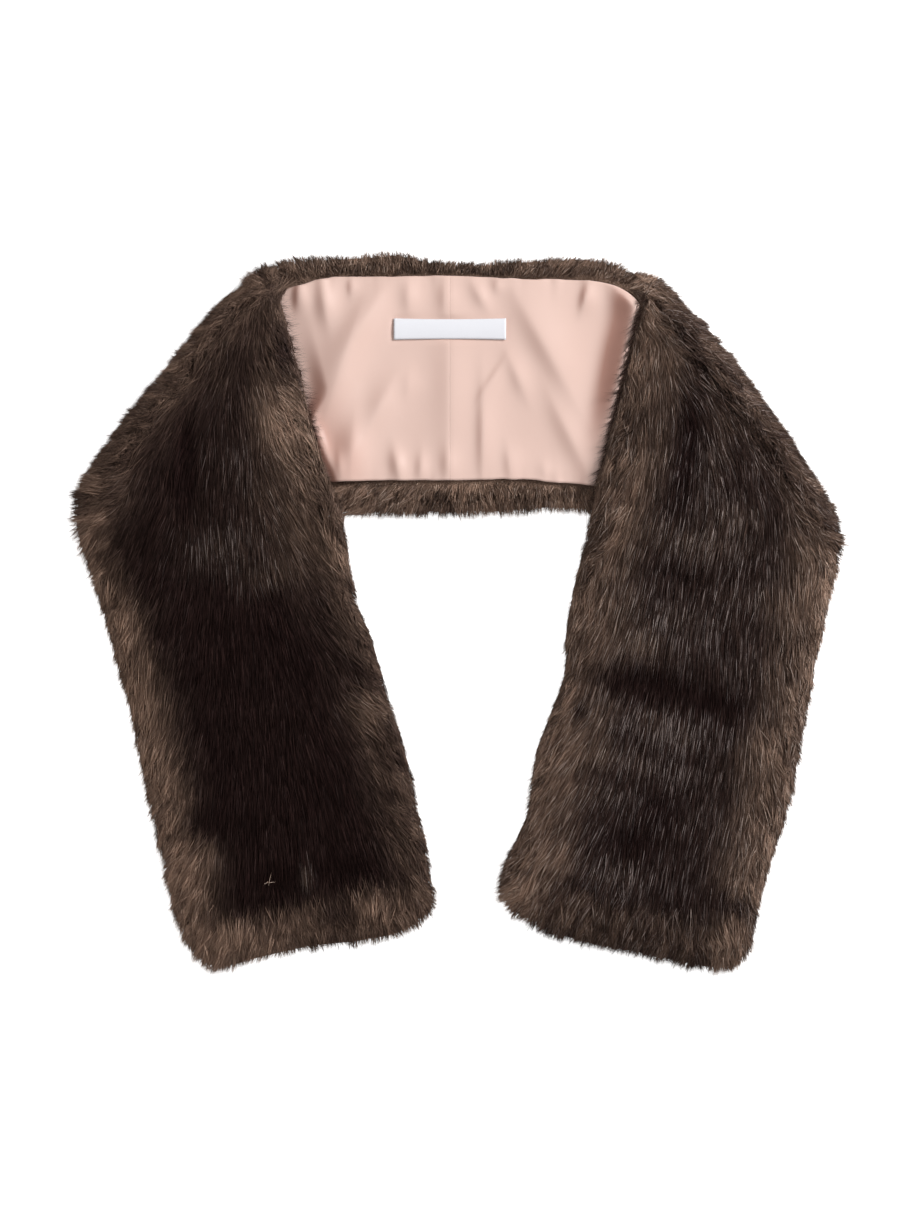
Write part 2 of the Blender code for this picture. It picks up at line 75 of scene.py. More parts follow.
# A long bright hair on the pile: its tip and length in mm, and its way in degrees from +X
Stray = namedtuple("Stray", "x y way long")

# The two ends of the strip. tail is the middle of the free end, heading the way from there to the
# collar, and inward is 1 where the inner edge lies clockwise of it. The fold leaves the outer edge at
# foldOuter and reaches the inner edge at foldInner, both counted from the tail. The coat is darkest up to
# coreTop and lightens over outerBand and innerBand, both counted from the middle line. comb has places
# in mm, each with the way that the hair is combed there in degrees from +X.
leftArm = {
    "node": "fur_end_left",
    "tail": (-91 * mm, -205.4 * mm),
    "heading": 104.5,
    "inward": 1,
    "foldOuter": 310 * mm,
    "foldInner": 426 * mm,
    "half": 79 * mm,
    "coreCoat": (0.0, 0.12),
    "coreTop": 232 * mm,
    "coreSlant": -0.35,
    # the share of hairs with a painted highlight, before the patches
    "frost": 0.08,
    "outerBand": (27 * mm, 74 * mm),
    "outerCoat": 1.0,
    "innerBand": (36 * mm, 76 * mm),
    "innerCoat": 0.52,
    "hemCoat": 0.68,
    "foldCoat": (0.66, 0.30),
    "reach": Reach(3.2, 1.4, 1.9, 4.2, 6.0, -1.8, -13),
    "tufts": (Tuft(279, -81, 40, 1.0), Tuft(418, 83, 44, 2.2)),
    "strays": (
        Stray(-119.4, -174.6, 258, 9.5), Stray(-114.6, -171.6, 6, 6), Stray(-122.4, -173.4, 214, 4.5),
    ),
    "cut": (160 * mm, 426 * mm),
    "cutArea": 160 * mm * 368 * mm,
    "wispStations": (262 * mm, 404 * mm),
    "wispWay": -12,
    "wisps": 700,  # fine hairs that lie over the lining
}
leftArm["patches"] = [Patch(*row) for row in [
    (312, 60, -4, 76, 46, 0.66, 0.35), (306, -4, 15, 74, 15, -0.3, -0.2, 3),
    (344, 30, 0, 50, 30, 0.1, 0.15), (248, 56, 0, 40, 50, 0.36, 0.1), (276, 40, 0, 40, 34, 0.3, 0.25),
    (250, 6, 90, 84, 40, 0.26, 0.55), (300, 22, 0, 60, 40, 0.14, 0.3), (225, 30, 90, 56, 24, 0.42, 0.45),
    (226, 74, 0, 26, 16, 0.3, 0.1), (260, -60, 0, 60, 44, -0.44, -0.1), (296, -56, 20, 60, 28, -0.2),
    (204, -49, 0, 22, 18, -0.3), (236, -50, 0, 40, 22, -0.24), (206, 44, 0, 40, 24, 0.2, 0.05),
    (152, 68, 0, 30, 24, -0.16, 0, 1), (128, 66, 0, 30, 26, 0.3, 0.2, -1),
    (82, -52, 0, 26, 34, -0.56, 0, 1), (56, -50, 0, 26, 24, 0.16, 0.1),
    (32, -18, 90, 38, 22, -0.7, -0.3, 5), (32, 30, 90, 36, 20, -0.7, -0.3, 5),
    (35, 4, 20, 19, 14, 0.58, 0.8, -1), (8, -46, 90, 84, 24, 0.34, 0.1), (8, 18, 90, 28, 16, -0.44, 0, 1.5),
    (8, 38, 0, 16, 18, 0.44, 0.3), (32, -58, 0, 20, 20, -0.15), (356, 74, 0, 40, 16, -0.25),
    (128, 30, 0, 60, 40, 0.04),
]]
leftArm["comb"] = [
    (-226, 98, 182), (-207, 125, 180), (-185, 157, 178), (-166, 182, 174), (-150, 204, 162),
    (-136, 216, 146), (-217, 111, 181), (-196, 141, 179), (-176, 169, 176), (-124, 220, 128),
    (-116, 214, 116), (-124, 208, 140), (-129, 201, 175), (-127, 194, 208), (-122, 190, 242),
    (-116, 190, 272), (-111, 184, 292), (-238, 75, 184), (-240, 57, 208), (-231, 32, 238), (-218, 6, 250),
    (-208, -19, 253), (-194, -70, 255), (-181, -120, 253), (-172, -164, 257), (-166, -215, 262),
    (-205, 92, 226), (-190, 118, 234), (-172, 146, 240), (-152, 172, 232), (-140, 190, 214),
    (-200, 57, 246), (-186, 84, 252), (-168, 112, 252), (-150, 140, 252), (-132, 168, 257),
    (-117, 192, 262), (-180, 70, 264), (-162, 57, 270), (-143, 95, 270), (-137, 32, 276), (-128, 133, 278),
    (-131, 107, 276), (-150, -6, 268), (-131, -44, 272), (-118, -95, 273), (-99, -145, 275),
    (-153, -120, 264), (-143, -171, 268), (-113, 139, 290), (-99, 133, 304), (-99, 107, 307),
    (-87, 88, 312), (-107, 178, 292), (-96, 164, 316), (-99, 57, 298), (-87, 32, 300), (-77, 6, 300),
    (-68, -32, 297), (-49, -63, 316), (-55, -80, 298), (-42, -107, 302), (-33, -139, 305), (-20, -171, 304),
    (-16, -190, 300), (-106, 6, 285), (-80, -57, 284), (-68, -120, 285), (-55, -158, 288),
    (-140, -221, 266), (-112, -212, 270), (-87, -202, 273), (-61, -199, 280), (-36, -191, 290),
]
rightArm = {
    "node": "fur_end_right",
    "tail": (104.3 * mm, -204.8 * mm),
    "heading": 76.4,
    "inward": -1,
    "foldOuter": 280.5 * mm,
    "foldInner": 414 * mm,
    "half": 79.5 * mm,
    "coreCoat": (0.14, 0.20),
    "coreTop": 170 * mm,
    "coreSlant": 0.0,
    # the share of hairs with a painted highlight, before the patches
    "frost": 0.40,
    "outerBand": (28 * mm, 68 * mm),
    "outerCoat": 0.75,
    "innerBand": (24 * mm, 68 * mm),
    "innerCoat": 0.71,
    "hemCoat": 0.50,
    "foldCoat": (0.50, 0.30),
    "reach": Reach(3.8, 1.6, 3.0, 3.8, 0.4, 0.2, 0.2),
    "tufts": (Tuft(12, 80, 40, 4.0), Tuft(6, -74, 34, 3.6)),
    "strays": (),
    "cut": (160 * mm, 414 * mm),
    "cutArea": 160 * mm * 347 * mm,
    "wispStations": (262 * mm, 396 * mm),
    "wispWay": 214,
    "wisps": 340,
}
rightArm["patches"] = [Patch(*row) for row in [
    (8, 68, 0, 26, 24, 0.25, 0.1), (32, -60, 90, 40, 20, -0.55, -0.1, 1), (32, 50, 0, 24, 20, 0.24, 0.1),
    (32, 14, 90, 60, 22, 0.2, 0.3), (55, 8, 90, 34, 20, -0.4, -0.3, 2), (80, -4, 0, 24, 24, -0.26, -0.2, 1),
    (66, -62, 0, 44, 24, -0.15), (82, 32, 90, 40, 20, 0.18, 0.25), (80, -26, 0, 20, 14, 0.2, 0.2),
    (105, 14, 90, 80, 20, 0.24, 0.35), (106, 40, 0, 26, 20, 0.18, 0.1), (130, 4, 90, 100, 24, 0.24, 0.4),
    (130, 46, 0, 26, 20, 0.16, 0.1), (130, 60, 0, 14, 12, -0.56, 0, 1.5),
    (130, -36, 0, 20, 12, -0.16, 0, 1), (152, 8, 90, 100, 22, -0.6, -0.7, 4), (152, -62, 0, 26, 22, -0.16),
    (178, 30, 90, 46, 24, 0.36, 0.35), (178, -26, 90, 34, 20, 0.14, 0.2), (200, 14, 90, 92, 26, 0.16, 0.35),
    (224, 18, 90, 50, 16, -0.08, 0, 1.5), (224, -28, 90, 50, 22, 0.2, 0.15),
    (250, 16, 90, 84, 24, 0.26, 0.35), (272, -8, 0, 26, 50, 0.24, 0.25),
    (308, 34, 6, 112, 17, -0.28, -0.1, 3), (300, 14, 0, 64, 24, 0.18, 0.25), (200, -66, 0, 70, 24, -0.12),
    (344, 74, 0, 34, 18, 0.16, 0.1), (402, 82, 0, 44, 30, 0.24, 0.1), (315, 64, 0, 74, 30, -0.14),
    (250, -76, 0, 50, 16, 0.2), (262, 60, 0, 60, 20, 0.1),
]]
rightArm["comb"] = [
    (119, 210, 50), (127, 213, 36), (139, 207, 12), (149, 199, -4), (157, 188, -12), (118, 201, 30),
    (124, 198, 0), (127, 191, -45), (121, 187, -68), (115, 186, -92), (169, 167, -16), (186, 140, -18),
    (207, 107, -18), (226, 76, -22), (241, 51, -34), (243, 39, -50), (238, 19, -72), (178, 154, -17),
    (197, 124, -17), (217, 91, -20), (141, 183, -32), (154, 164, -42), (169, 139, -52), (188, 107, -58),
    (210, 73, -60), (226, 44, -66), (177, 128, -54), (196, 98, -58), (134, 164, -62), (147, 139, -70),
    (163, 107, -78), (182, 76, -86), (204, 44, -90), (220, 13, -90), (113, 177, -95), (111, 152, -98),
    (104, 120, -102), (98, 88, -108), (92, 57, -114), (85, 25, -116), (79, -6, -116), (71, -44, -116),
    (65, -82, -118), (56, -120, -122), (45, -152, -128), (35, -177, -138), (125, 145, -92), (119, 107, -98),
    (112, 70, -102), (106, 32, -105), (98, -6, -106), (90, -57, -106), (84, -107, -108), (71, -152, -112),
    (59, -183, -114), (141, 88, -104), (147, 44, -100), (141, -6, -98), (131, -57, -98), (125, -107, -98),
    (116, -158, -98), (179, 32, -98), (176, -19, -98), (169, -70, -97), (163, -120, -98), (154, -171, -100),
    (229, -19, -88), (222, -57, -84), (217, -95, -84), (210, -133, -86), (204, -171, -90), (195, -202, -92),
    (182, -224, -96), (65, -202, -106), (90, -209, -100), (122, -216, -96), (154, -222, -96),
    (46, -186, -122),
]


def eased(low, high, value):
    t = np.clip((value - low) / (high - low), 0, 1)
    return t * t * (3 - 2 * t)


def unit(vectors):
    return vectors / np.maximum(np.linalg.norm(vectors, axis=1, keepdims=True), 1e-9)


def mound(along, across, run, long, wide):
    # 1 in the middle of a long soft shape that runs at an angle, 0 all round it
    turn = np.radians(run)
    a = along * np.cos(turn) + across * np.sin(turn)
    b = across * np.cos(turn) - along * np.sin(turn)
    return np.exp(-1.5 * (2 * a / long) ** 2 - 1.5 * (2 * b / wide) ** 2)


def scatter(cellX, cellY, which):
    # a steady number from 0 to 1 for each cell of a grid
    return np.modf(np.abs(np.sin(cellX * 127.1 + cellY * 311.7 + which * 74.7) * 43758.5453))[0]


def softNoise(x, y, size, which):
    # rolling values from 0 to 1, about size apart
    gx, gy = x / size, y / size
    cx, cy = np.floor(gx), np.floor(gy)
    tx, ty = eased(0, 1, gx - cx), eased(0, 1, gy - cy)
    low = scatter(cx, cy, which) * (1 - tx) + scatter(cx + 1, cy, which) * tx
    high = scatter(cx, cy + 1, which) * (1 - tx) + scatter(cx + 1, cy + 1, which) * tx
    return low * (1 - ty) + high * ty


def armReading(arm, x, y):
    # distance from the tail, and offset towards the inner edge
    turn = math.radians(arm["heading"])
    upX, upY = math.cos(turn), math.sin(turn)
    dx, dy = x - arm["tail"][0], y - arm["tail"][1]
    return dx * upX + dy * upY, (dx * upY - dy * upX) * arm["inward"]


def foldDepth(arm, station, offset):
    # how far inside the fold a point lies
    run, width = arm["foldInner"] - arm["foldOuter"], 2 * arm["half"]
    size = math.hypot(run, width)
    return ((offset + arm["half"]) * run - (station - arm["foldOuter"]) * width) / size


def newObject(name, data):
    made = bpy.data.objects.new(name, data)
    bpy.context.collection.objects.link(made)
    return made


def deselect():
    bpy.ops.object.select_all(action="DESELECT")


def makeActive(piece):
    deselect()
    bpy.context.view_layer.objects.active = piece
    piece.select_set(True)


def applyModifier(piece, kind, **values):
    makeActive(piece)
    modifier = piece.modifiers.new(kind, kind)
    for key, value in values.items():
        setattr(modifier, key, value)
    bpy.ops.object.modifier_apply(modifier=modifier.name)


def setAttribute(mesh, name, values):
    attribute = mesh.attributes.new(name, "FLOAT", "POINT")
    attribute.data.foreach_set("value", np.ascontiguousarray(values, np.float32))


def points(mesh, kind="co"):
    values = np.zeros(len(mesh.vertices) * 3, np.float32)
    mesh.vertices.foreach_get(kind, values)
    return values.reshape(-1, 3).astype(float)


def setInputs(node, values):
    for name, value in values.items():
        node.inputs[name].default_value = value


def addNode(tree, kind, values=None, **settings):
    # a shader node with its settings and the values of its inputs
    node = tree.nodes.new("ShaderNode" + kind)
    for name, value in settings.items():
        setattr(node, name, value)
    setInputs(node, values or {})
    return node


def mixed(tree, factor, first, second, kind="MIX"):
    # two colours mixed. Each of the three is a value or another node's output
    node = addNode(tree, "Mix", data_type="RGBA", blend_type=kind)
    for name, source in (("Factor", factor), ("A", first), ("B", second)):
        if isinstance(source, bpy.types.NodeSocket):
            tree.links.new(source, node.inputs[name])
        else:
            node.inputs[name].default_value = source
    return node.outputs["Result"]


def newMaterial(name, finish):
    material = bpy.data.materials.new(name)
    material.use_nodes = True
    tree = material.node_tree
    shader = tree.nodes["Principled BSDF"]
    setInputs(shader, finish)
    return material, tree, tree.links, shader


def newGroup(name, inputs, outputs):
    # a node group, with the kind of each of its sockets
    group = bpy.data.node_groups.new(name, "ShaderNodeTree")
    for way, sockets in (("INPUT", inputs), ("OUTPUT", outputs)):
        for label, kind in sockets.items():
            group.interface.new_socket(label, in_out=way, socket_type="NodeSocket" + kind)
    inside, outside = group.nodes.new("NodeGroupInput"), group.nodes.new("NodeGroupOutput")
    return group, group.links, inside.outputs, outside.inputs


def coatColourGroup():
    # The colour of one hair: near black down the middle of the strip, taupe along its edges,
    # darker at the root, with painted highlights on a few hairs
    coat = {
        "places": (0.0, 0.3, 0.6, 1.0),
        "body": (
            (0.0215, 0.01, 0.009), (0.043, 0.025, 0.0205), (0.117, 0.0745, 0.056), (0.34, 0.223, 0.164),
        ),
        "root": 0.85,
        "tip": 1.2,
        # the colours of the painted highlights
        "bright": ((0.3, 0.255, 0.25), (0.34, 0.28, 0.265), (0.38, 0.305, 0.265), (0.5, 0.395, 0.33)),
    }
    group, links, inside, outside = newGroup(
        "coatColour",
        dict.fromkeys(("Coat", "Frost", "Along", "Hair"), "Float"),
        {"Colour": "Color", "Roughness": "Float"},
    )

    def ramp(factor, stops):
        node = addNode(group, "ValToRGB")
        links.new(factor, node.inputs["Fac"])
        while len(node.color_ramp.elements) < len(stops):
            node.color_ramp.elements.new(0.5)
        for element, (place, colour) in zip(node.color_ramp.elements, stops):
            element.position = place
            element.color = (*colour, 1)
        return node.outputs["Color"]

    def greyRamp(factor, *stops):
        return ramp(factor, [(place, (value, value, value)) for place, value in stops])

    def coatRamp(key, strength):
        shades = [tuple(strength * value for value in colour) for colour in coat[key]]
        return ramp(inside["Coat"], list(zip(coat["places"], shades)))

    towardsTip = greyRamp(inside["Along"], (0.0, 0), (0.5, 0.5), (1.0, 1))
    body = mixed(group, towardsTip, coatRamp("body", coat["root"]), coatRamp("body", coat["tip"]))
    # no two hairs are quite alike
    shade = greyRamp(inside["Hair"], (0.0, 0.5), (0.5, 0.97), (1.0, 1.6))
    body = mixed(group, 1.0, body, shade, "MULTIPLY")
    # painted highlights: only some of the hairs are coloured as if they catch the light, more of them where
    # that share is higher, brightest near a hair's middle
    share = addNode(group, "Math", {1: 0.65}, operation="MULTIPLY")
    links.new(inside["Hair"], share.inputs[0])
    bright = addNode(group, "Math", {1: 0.35}, operation="MULTIPLY_ADD")
    links.new(inside["Frost"], bright.inputs[0])
    links.new(share.outputs[0], bright.inputs[2])
    caught = greyRamp(bright.outputs[0], (0.0, 0), (0.66, 0), (0.86, 0.95))
    alongHair = greyRamp(inside["Along"], (0.1, 0), (0.5, 1), (1.0, 0.6))
    caught = mixed(group, 1.0, caught, alongHair, "MULTIPLY")
    links.new(mixed(group, caught, body, coatRamp("bright", 1.0)), outside["Colour"])
    rough = addNode(group, "MapRange", {"To Min": 0.66, "To Max": 0.48})
    links.new(inside["Hair"], rough.inputs["Value"])
    links.new(rough.outputs["Result"], outside["Roughness"])
    return group


def weaveGroup():
    # fine threads side by side along X, and the normal that they give
    group, links, inside, outside = newGroup(
        "weave",
        {"Place": "Vector", "Scale": "Float", "Distortion": "Float", "Strength": "Float"},
        {"Threads": "Float", "Normal": "Vector"},
    )
    threads = addNode(group, "TexWave", wave_type="BANDS", bands_direction="X")
    relief = addNode(group, "Bump", {"Distance": 0.1 * mm})
    links.new(inside["Place"], threads.inputs["Vector"])
    links.new(inside["Scale"], threads.inputs["Scale"])
    links.new(inside["Distortion"], threads.inputs["Distortion"])
    links.new(inside["Strength"], relief.inputs["Strength"])
    links.new(threads.outputs["Fac"], relief.inputs["Height"])
    links.new(threads.outputs["Fac"], outside["Threads"])
    links.new(relief.outputs["Normal"], outside["Normal"])
    return group


def furMaterial(name, coatColour, isWool):
    # Each hair carries its own values. The wool has fewer, so noise stands in for the rest
    material, tree, links, shader = newMaterial(name, {"Specular IOR Level": 0.06})
    tone = addNode(tree, "Group", node_tree=coatColour)

    def reading(name):
        node = addNode(tree, "Attribute", attribute_name=name)
        links.new(node.outputs["Fac"], tone.inputs[name.capitalize()])

    reading("coat")
    reading("frost")
    if isWool:
        tone.inputs["Along"].default_value = 0.35
        place = addNode(tree, "TexCoord").outputs["Object"]
        fuzz = addNode(tree, "TexNoise", {"Scale": 900, "Detail": 4})
        bump = addNode(tree, "Bump", {"Strength": 0.8, "Distance": 1.5 * mm})
        links.new(place, fuzz.inputs["Vector"])
        links.new(fuzz.outputs["Fac"], tone.inputs["Hair"])
        links.new(fuzz.outputs["Fac"], bump.inputs["Height"])
        links.new(bump.outputs["Normal"], shader.inputs["Normal"])
    else:
        reading("along")
        reading("hair")
    links.new(tone.outputs["Colour"], shader.inputs["Base Color"])
    links.new(tone.outputs["Roughness"], shader.inputs["Roughness"])
    return material


def satinMaterial(weave):
    satin = {
        "colour": (0.785, 0.57, 0.50, 1),
        "cloudy": (0.74, 0.525, 0.455, 1),
        # painted shade: the satin's colour where a fold turns away from the light and where the ends shade
        # it
        "turned": (0.55, 0.30, 0.24, 1),  # where a fold turns away
        "threadPitch": 0.32 * mm,
        "finish": {
            "Roughness": 0.38, "Specular IOR Level": 0.4, "Anisotropic": 0.3,
            "Sheen Weight": 0.1, "Sheen Roughness": 0.4,
        },
    }
    material, tree, links, shader = newMaterial("roseSatin", satin["finish"])
    place = addNode(tree, "TexCoord").outputs["Object"]
    cloud = addNode(tree, "TexNoise", {"Scale": 28, "Detail": 3})
    links.new(place, cloud.inputs["Vector"])
    tint = mixed(tree, cloud.outputs["Fac"], satin["colour"], satin["cloudy"])
    # painted shade, read from the lining's turned attribute
    turned = addNode(tree, "Attribute", attribute_name="turned")
    tint = mixed(tree, turned.outputs["Fac"], tint, satin["turned"])
    links.new(tint, shader.inputs["Base Color"])
    # the satin's long floats run along the strip
    across = addNode(tree, "Mapping", {"Rotation": (0, 0, -math.pi / 2)})
    values = {"Scale": math.pi / (10 * satin["threadPitch"]), "Distortion": 0.6, "Strength": 0.05}
    floats = addNode(tree, "Group", values, node_tree=weave)
    links.new(place, across.inputs["Vector"])
    links.new(across.outputs["Vector"], floats.inputs["Place"])
    links.new(floats.outputs["Normal"], shader.inputs["Normal"])
    return material


def tapeMaterial(weave):
    tape = {
        "colour": (0.80, 0.81, 0.86, 1),
        "rib": (0.86, 0.87, 0.92, 1),
        "finish": {"Roughness": 0.55, "Specular IOR Level": 0.3},
    }
    material, tree, links, shader = newMaterial("whiteTape", tape["finish"])
    place = addNode(tree, "TexCoord").outputs["Object"]
    ribs = addNode(tree, "Group", {"Scale": 900, "Strength": 0.15}, node_tree=weave)
    links.new(place, ribs.inputs["Place"])
    tint = mixed(tree, ribs.outputs["Threads"], tape["colour"], tape["rib"])
    links.new(tint, shader.inputs["Base Color"])
    links.new(ribs.outputs["Normal"], shader.inputs["Normal"])
    return material


def armTone(arm, x, y):
    # how taupe, how many hairs carry a painted highlight and how deeply parted the pile is
    station, offset = armReading(arm, x, y)
    wander = 9 * mm * (softNoise(x, y, 30 * mm, 3) - 0.5)
    low, high = arm["coreCoat"]
    top = arm["coreTop"] + arm["coreSlant"] * offset
    core = low + (high - low) * eased(-14 * mm, 14 * mm, station + wander - top)
    depth = foldDepth(arm, station, offset)
    rimCoat, nearCoat = arm["foldCoat"]
    core = np.maximum(core, nearCoat * (1 - eased(24 * mm, 58 * mm, depth + wander)))
    coat = core + (arm["outerCoat"] - core) * eased(*arm["outerBand"], wander - offset)
    coat = coat + (arm["innerCoat"] - coat) * eased(*arm["innerBand"], wander + offset)
    coat = np.maximum(coat, arm["hemCoat"] * (1 - eased(10 * mm, 28 * mm, station + wander)))
    nearFold = 1 - eased(2 * mm, 30 * mm, depth + 0.5 * wander)
    coat = coat * (1 - nearFold) + rimCoat * nearFold
    frost = arm["frost"] + 0.15 * coat
    dip = np.zeros_like(x)
    # each patch is the coat's own tone, or painted light and painted shade: lit bands, shadowed pits and
    # creases, and painted highlights
    for patch in arm["patches"]:
        along, across = station - patch.station * mm, offset - patch.offset * mm
        near = mound(along, across, patch.run, patch.long * mm, patch.wide * mm)
        coat = coat + patch.coat * near
        frost = frost + patch.frost * near
        dip = dip + patch.dip * mm * near
    blotches, flecks = softNoise(x, y, 13 * mm, 7) - 0.5, softNoise(x, y, 6 * mm, 8) - 0.5
    coat = coat + 0.10 * blotches * (0.4 + coat) + 0.05 * flecks
    dip = dip + 1.2 * mm * (softNoise(x, y, 16 * mm, 9) - 0.5)
    return np.clip(coat, 0, 1), np.clip(frost, 0, 1.2), dip


middleStrip = {
    "cut": (160 * mm, 345 * mm),
    "midline": 140 * mm,
    "hairs": (10500, 5500),  # under hairs and guard hairs
    # the way of the hair along each long edge, in degrees, and how far it reaches out over the
    # upper one, in mm: first the places along X in mm, then the values there
    "upperWay": ((-118, -99, -74, -30, -20, 15, 65, 116, 128), (125, 106, 97, 94, 72, 62, 57, 52, 40)),
    "lowerWay": ((-71, -52, -36, -11, 8, 33, 65, 90), (-132, -122, -114, -108, -94, -86, -82, -80)),
    "upperReach": ((-40, -8, 16, 34), (2.4, 0.8, 0.8, 2.6)),
    "lowerReach": 1.2 * mm,
}


def middleTone(x, y):
    blotches, flecks = softNoise(x, y, 16 * mm, 11) - 0.5, softNoise(x, y, 6 * mm, 12) - 0.5
    coat = 0.72 + 0.08 * (y < middleStrip["midline"]) + 0.24 * blotches + 0.16 * flecks
    # painted highlights: more hairs are coloured as glints where the coat is lighter
    frost = 0.35 + 0.5 * (coat - 0.5)
    return np.clip(coat, 0, 1), np.clip(frost, 0, 1), np.zeros_like(x)


def armFlow(arm, x, y):
    # the combed way at each place, how ruffled the pile is (smooth inside, in tufts near the edges),
    # and how far its tips reach out over the edge
    east, north = np.zeros_like(x), np.zeros_like(x)
    for combX, combY, way in arm["comb"]:
        weight = 1 / ((x - combX * mm) ** 2 + (y - combY * mm) ** 2 + (6 * mm) ** 2) ** 2
        east = east + weight * math.cos(math.radians(way))
        north = north + weight * math.sin(math.radians(way))
    station, offset = armReading(arm, x, y)
    ruffled = np.maximum(eased(46 * mm, 80 * mm, np.abs(offset)), 1 - eased(4 * mm, 26 * mm, station))
    depth = foldDepth(arm, station, offset)
    ruffled = np.maximum(ruffled, 1 - eased(6 * mm, 40 * mm, depth))
    wave = 0.30 * (softNoise(x, y, 42 * mm, 21) - 0.5) + 0.25 * (softNoise(x, y, 17 * mm, 22) - 0.5)
    over = arm["reach"]
    reach = over.outer + (over.inner - over.outer) * eased(-30 * mm, 30 * mm, offset)
    hem = over.hemOuter + (over.hemInner - over.hemOuter) * eased(0, 60 * mm, offset)
    reach = hem + (reach - hem) * eased(0, 18 * mm, station)
    reach = over.fold + (reach - over.fold) * eased(0, 10 * mm, depth)
    beside = over.liningFoot + (over.lining - over.liningFoot) * eased(94 * mm, 144 * mm, y)
    reach = reach + (beside - reach) * eased(246 * mm, 270 * mm, station) * eased(40 * mm, 56 * mm, offset)
    for tuft in arm["tufts"]:
        near = np.hypot(station - tuft.station * mm, offset - tuft.offset * mm) / (tuft.wide * mm / 2)
        reach = reach + tuft.further * np.exp(-1.5 * near**2)
    return np.arctan2(north, east) + wave * (0.5 + ruffled), ruffled, reach * mm


def middleFlow(x, y):
    # out over both long edges
    def reading(key, scale=1):
        places, values = middleStrip[key]
        return np.interp(x, np.array(places) * mm, np.array(values) * scale)

    wave = 0.4 * (softNoise(x, y, 24 * mm, 31) - 0.5) + 0.4 * (softNoise(x, y, 9 * mm, 32) - 0.5)
    isUpper = y > middleStrip["midline"]
    way = np.radians(np.where(isUpper, reading("upperWay"), reading("lowerWay")))
    reach = np.where(isUpper, reading("upperReach", mm), middleStrip["lowerReach"])
    return way + wave, np.ones_like(x), reach


pile = {
    # root and lie are how deep a hair starts and bends, sunk how deep its tip lies, and splay how far
    # it turns outwards along the edges
    "under": {
        "length": 14 * mm, "width": 0.47 * mm, "root": 3.4 * mm, "lie": 1.0 * mm,
        "sunk": (0.3, 1.7), "splay": 0.5,
    },
    "guard": {
        "length": 21 * mm, "width": 0.31 * mm, "root": 3.0 * mm, "lie": 0.4 * mm,
        "sunk": (-0.5, 0.7), "splay": 0.8,
    },
    "bend": 0.62,  # where a hair bends, from its tip
    "lock": 6.0 * mm,  # how far apart the locks of hair are
    "gather": 0.30,  # how far the tips of a lock come together at the edges
    "reach": 2.6 * mm,  # how unevenly the locks reach out over the edges
    "fringe": 3.6 * mm,  # how much of the hair shows past the wool along the edges
    "armHairs": (30600, 17800),  # under hairs and guard hairs in each half of an end
    "armSplit": 205 * mm,  # an end's hair is in two pieces, parted here
    "grid": 2 * mm,
}


def weldedCopy(node, name):
    piece = newObject(name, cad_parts[node].data.copy())
    makeActive(piece)
    piece.data.materials.clear()
    bpy.ops.object.mode_set(mode="EDIT")
    bpy.ops.mesh.select_all(action="SELECT")
    bpy.ops.mesh.remove_doubles(threshold=0.01 * mm)
    bpy.ops.object.mode_set(mode="OBJECT")
    bpy.ops.object.shade_smooth()
    return piece


def woolBody(node, name, tone, flow, thin):
    # the dense wool under the hair: the solid's own form, taken in on every side but its flat underside
    piece = weldedCopy(node, name)
    before, facing = points(piece.data), points(piece.data, "normal")
    bpy.ops.object.mode_set(mode="EDIT")
    bpy.ops.mesh.select_all(action="SELECT")
    bpy.ops.transform.shrink_fatten(value=-thin)
    bpy.ops.mesh.vertices_smooth(factor=0.5, repeat=2)
    bpy.ops.object.mode_set(mode="OBJECT")
    after = points(piece.data)
    # all round, the wool stops short of the hair's tips, so that hair alone makes the outline
    steep = np.linalg.norm(facing[:, :2], axis=1, keepdims=True)
    reach = flow(*before.T[:2])[2][:, None]
    further = np.clip(steep / 0.5, 0, 1) * (pile["fringe"] - thin - reach)
    after[:, :2] -= facing[:, :2] / np.maximum(steep, 1e-6) * further
    # but not at the two corners of the collar, where the ends meet the middle
    near = (np.abs(before[:, 0]) - 114 * mm) ** 2 + (before[:, 1] - 208 * mm) ** 2
    after = before + (after - before) * (1 - 0.9 * np.exp(-near / (12 * mm) ** 2))[:, None]
    floorLevel = 0.4 * mm
    after[:, 2] = np.where(before[:, 2] < 0.2 * mm, floorLevel, np.maximum(after[:, 2], floorLevel))
    piece.data.vertices.foreach_set("co", after.ravel())
    applyModifier(piece, "SUBSURF", levels=1, render_levels=1)
    place = points(piece.data)
    coat, frost, dip = tone(*place.T[:2])
    place[:, 2] = np.where(place[:, 2] > 4 * mm, place[:, 2] - np.maximum(dip, 0), place[:, 2])
    piece.data.vertices.foreach_set("co", place.ravel())
    setAttribute(piece.data, "coat", coat)
    setAttribute(piece.data, "frost", frost)
    return piece


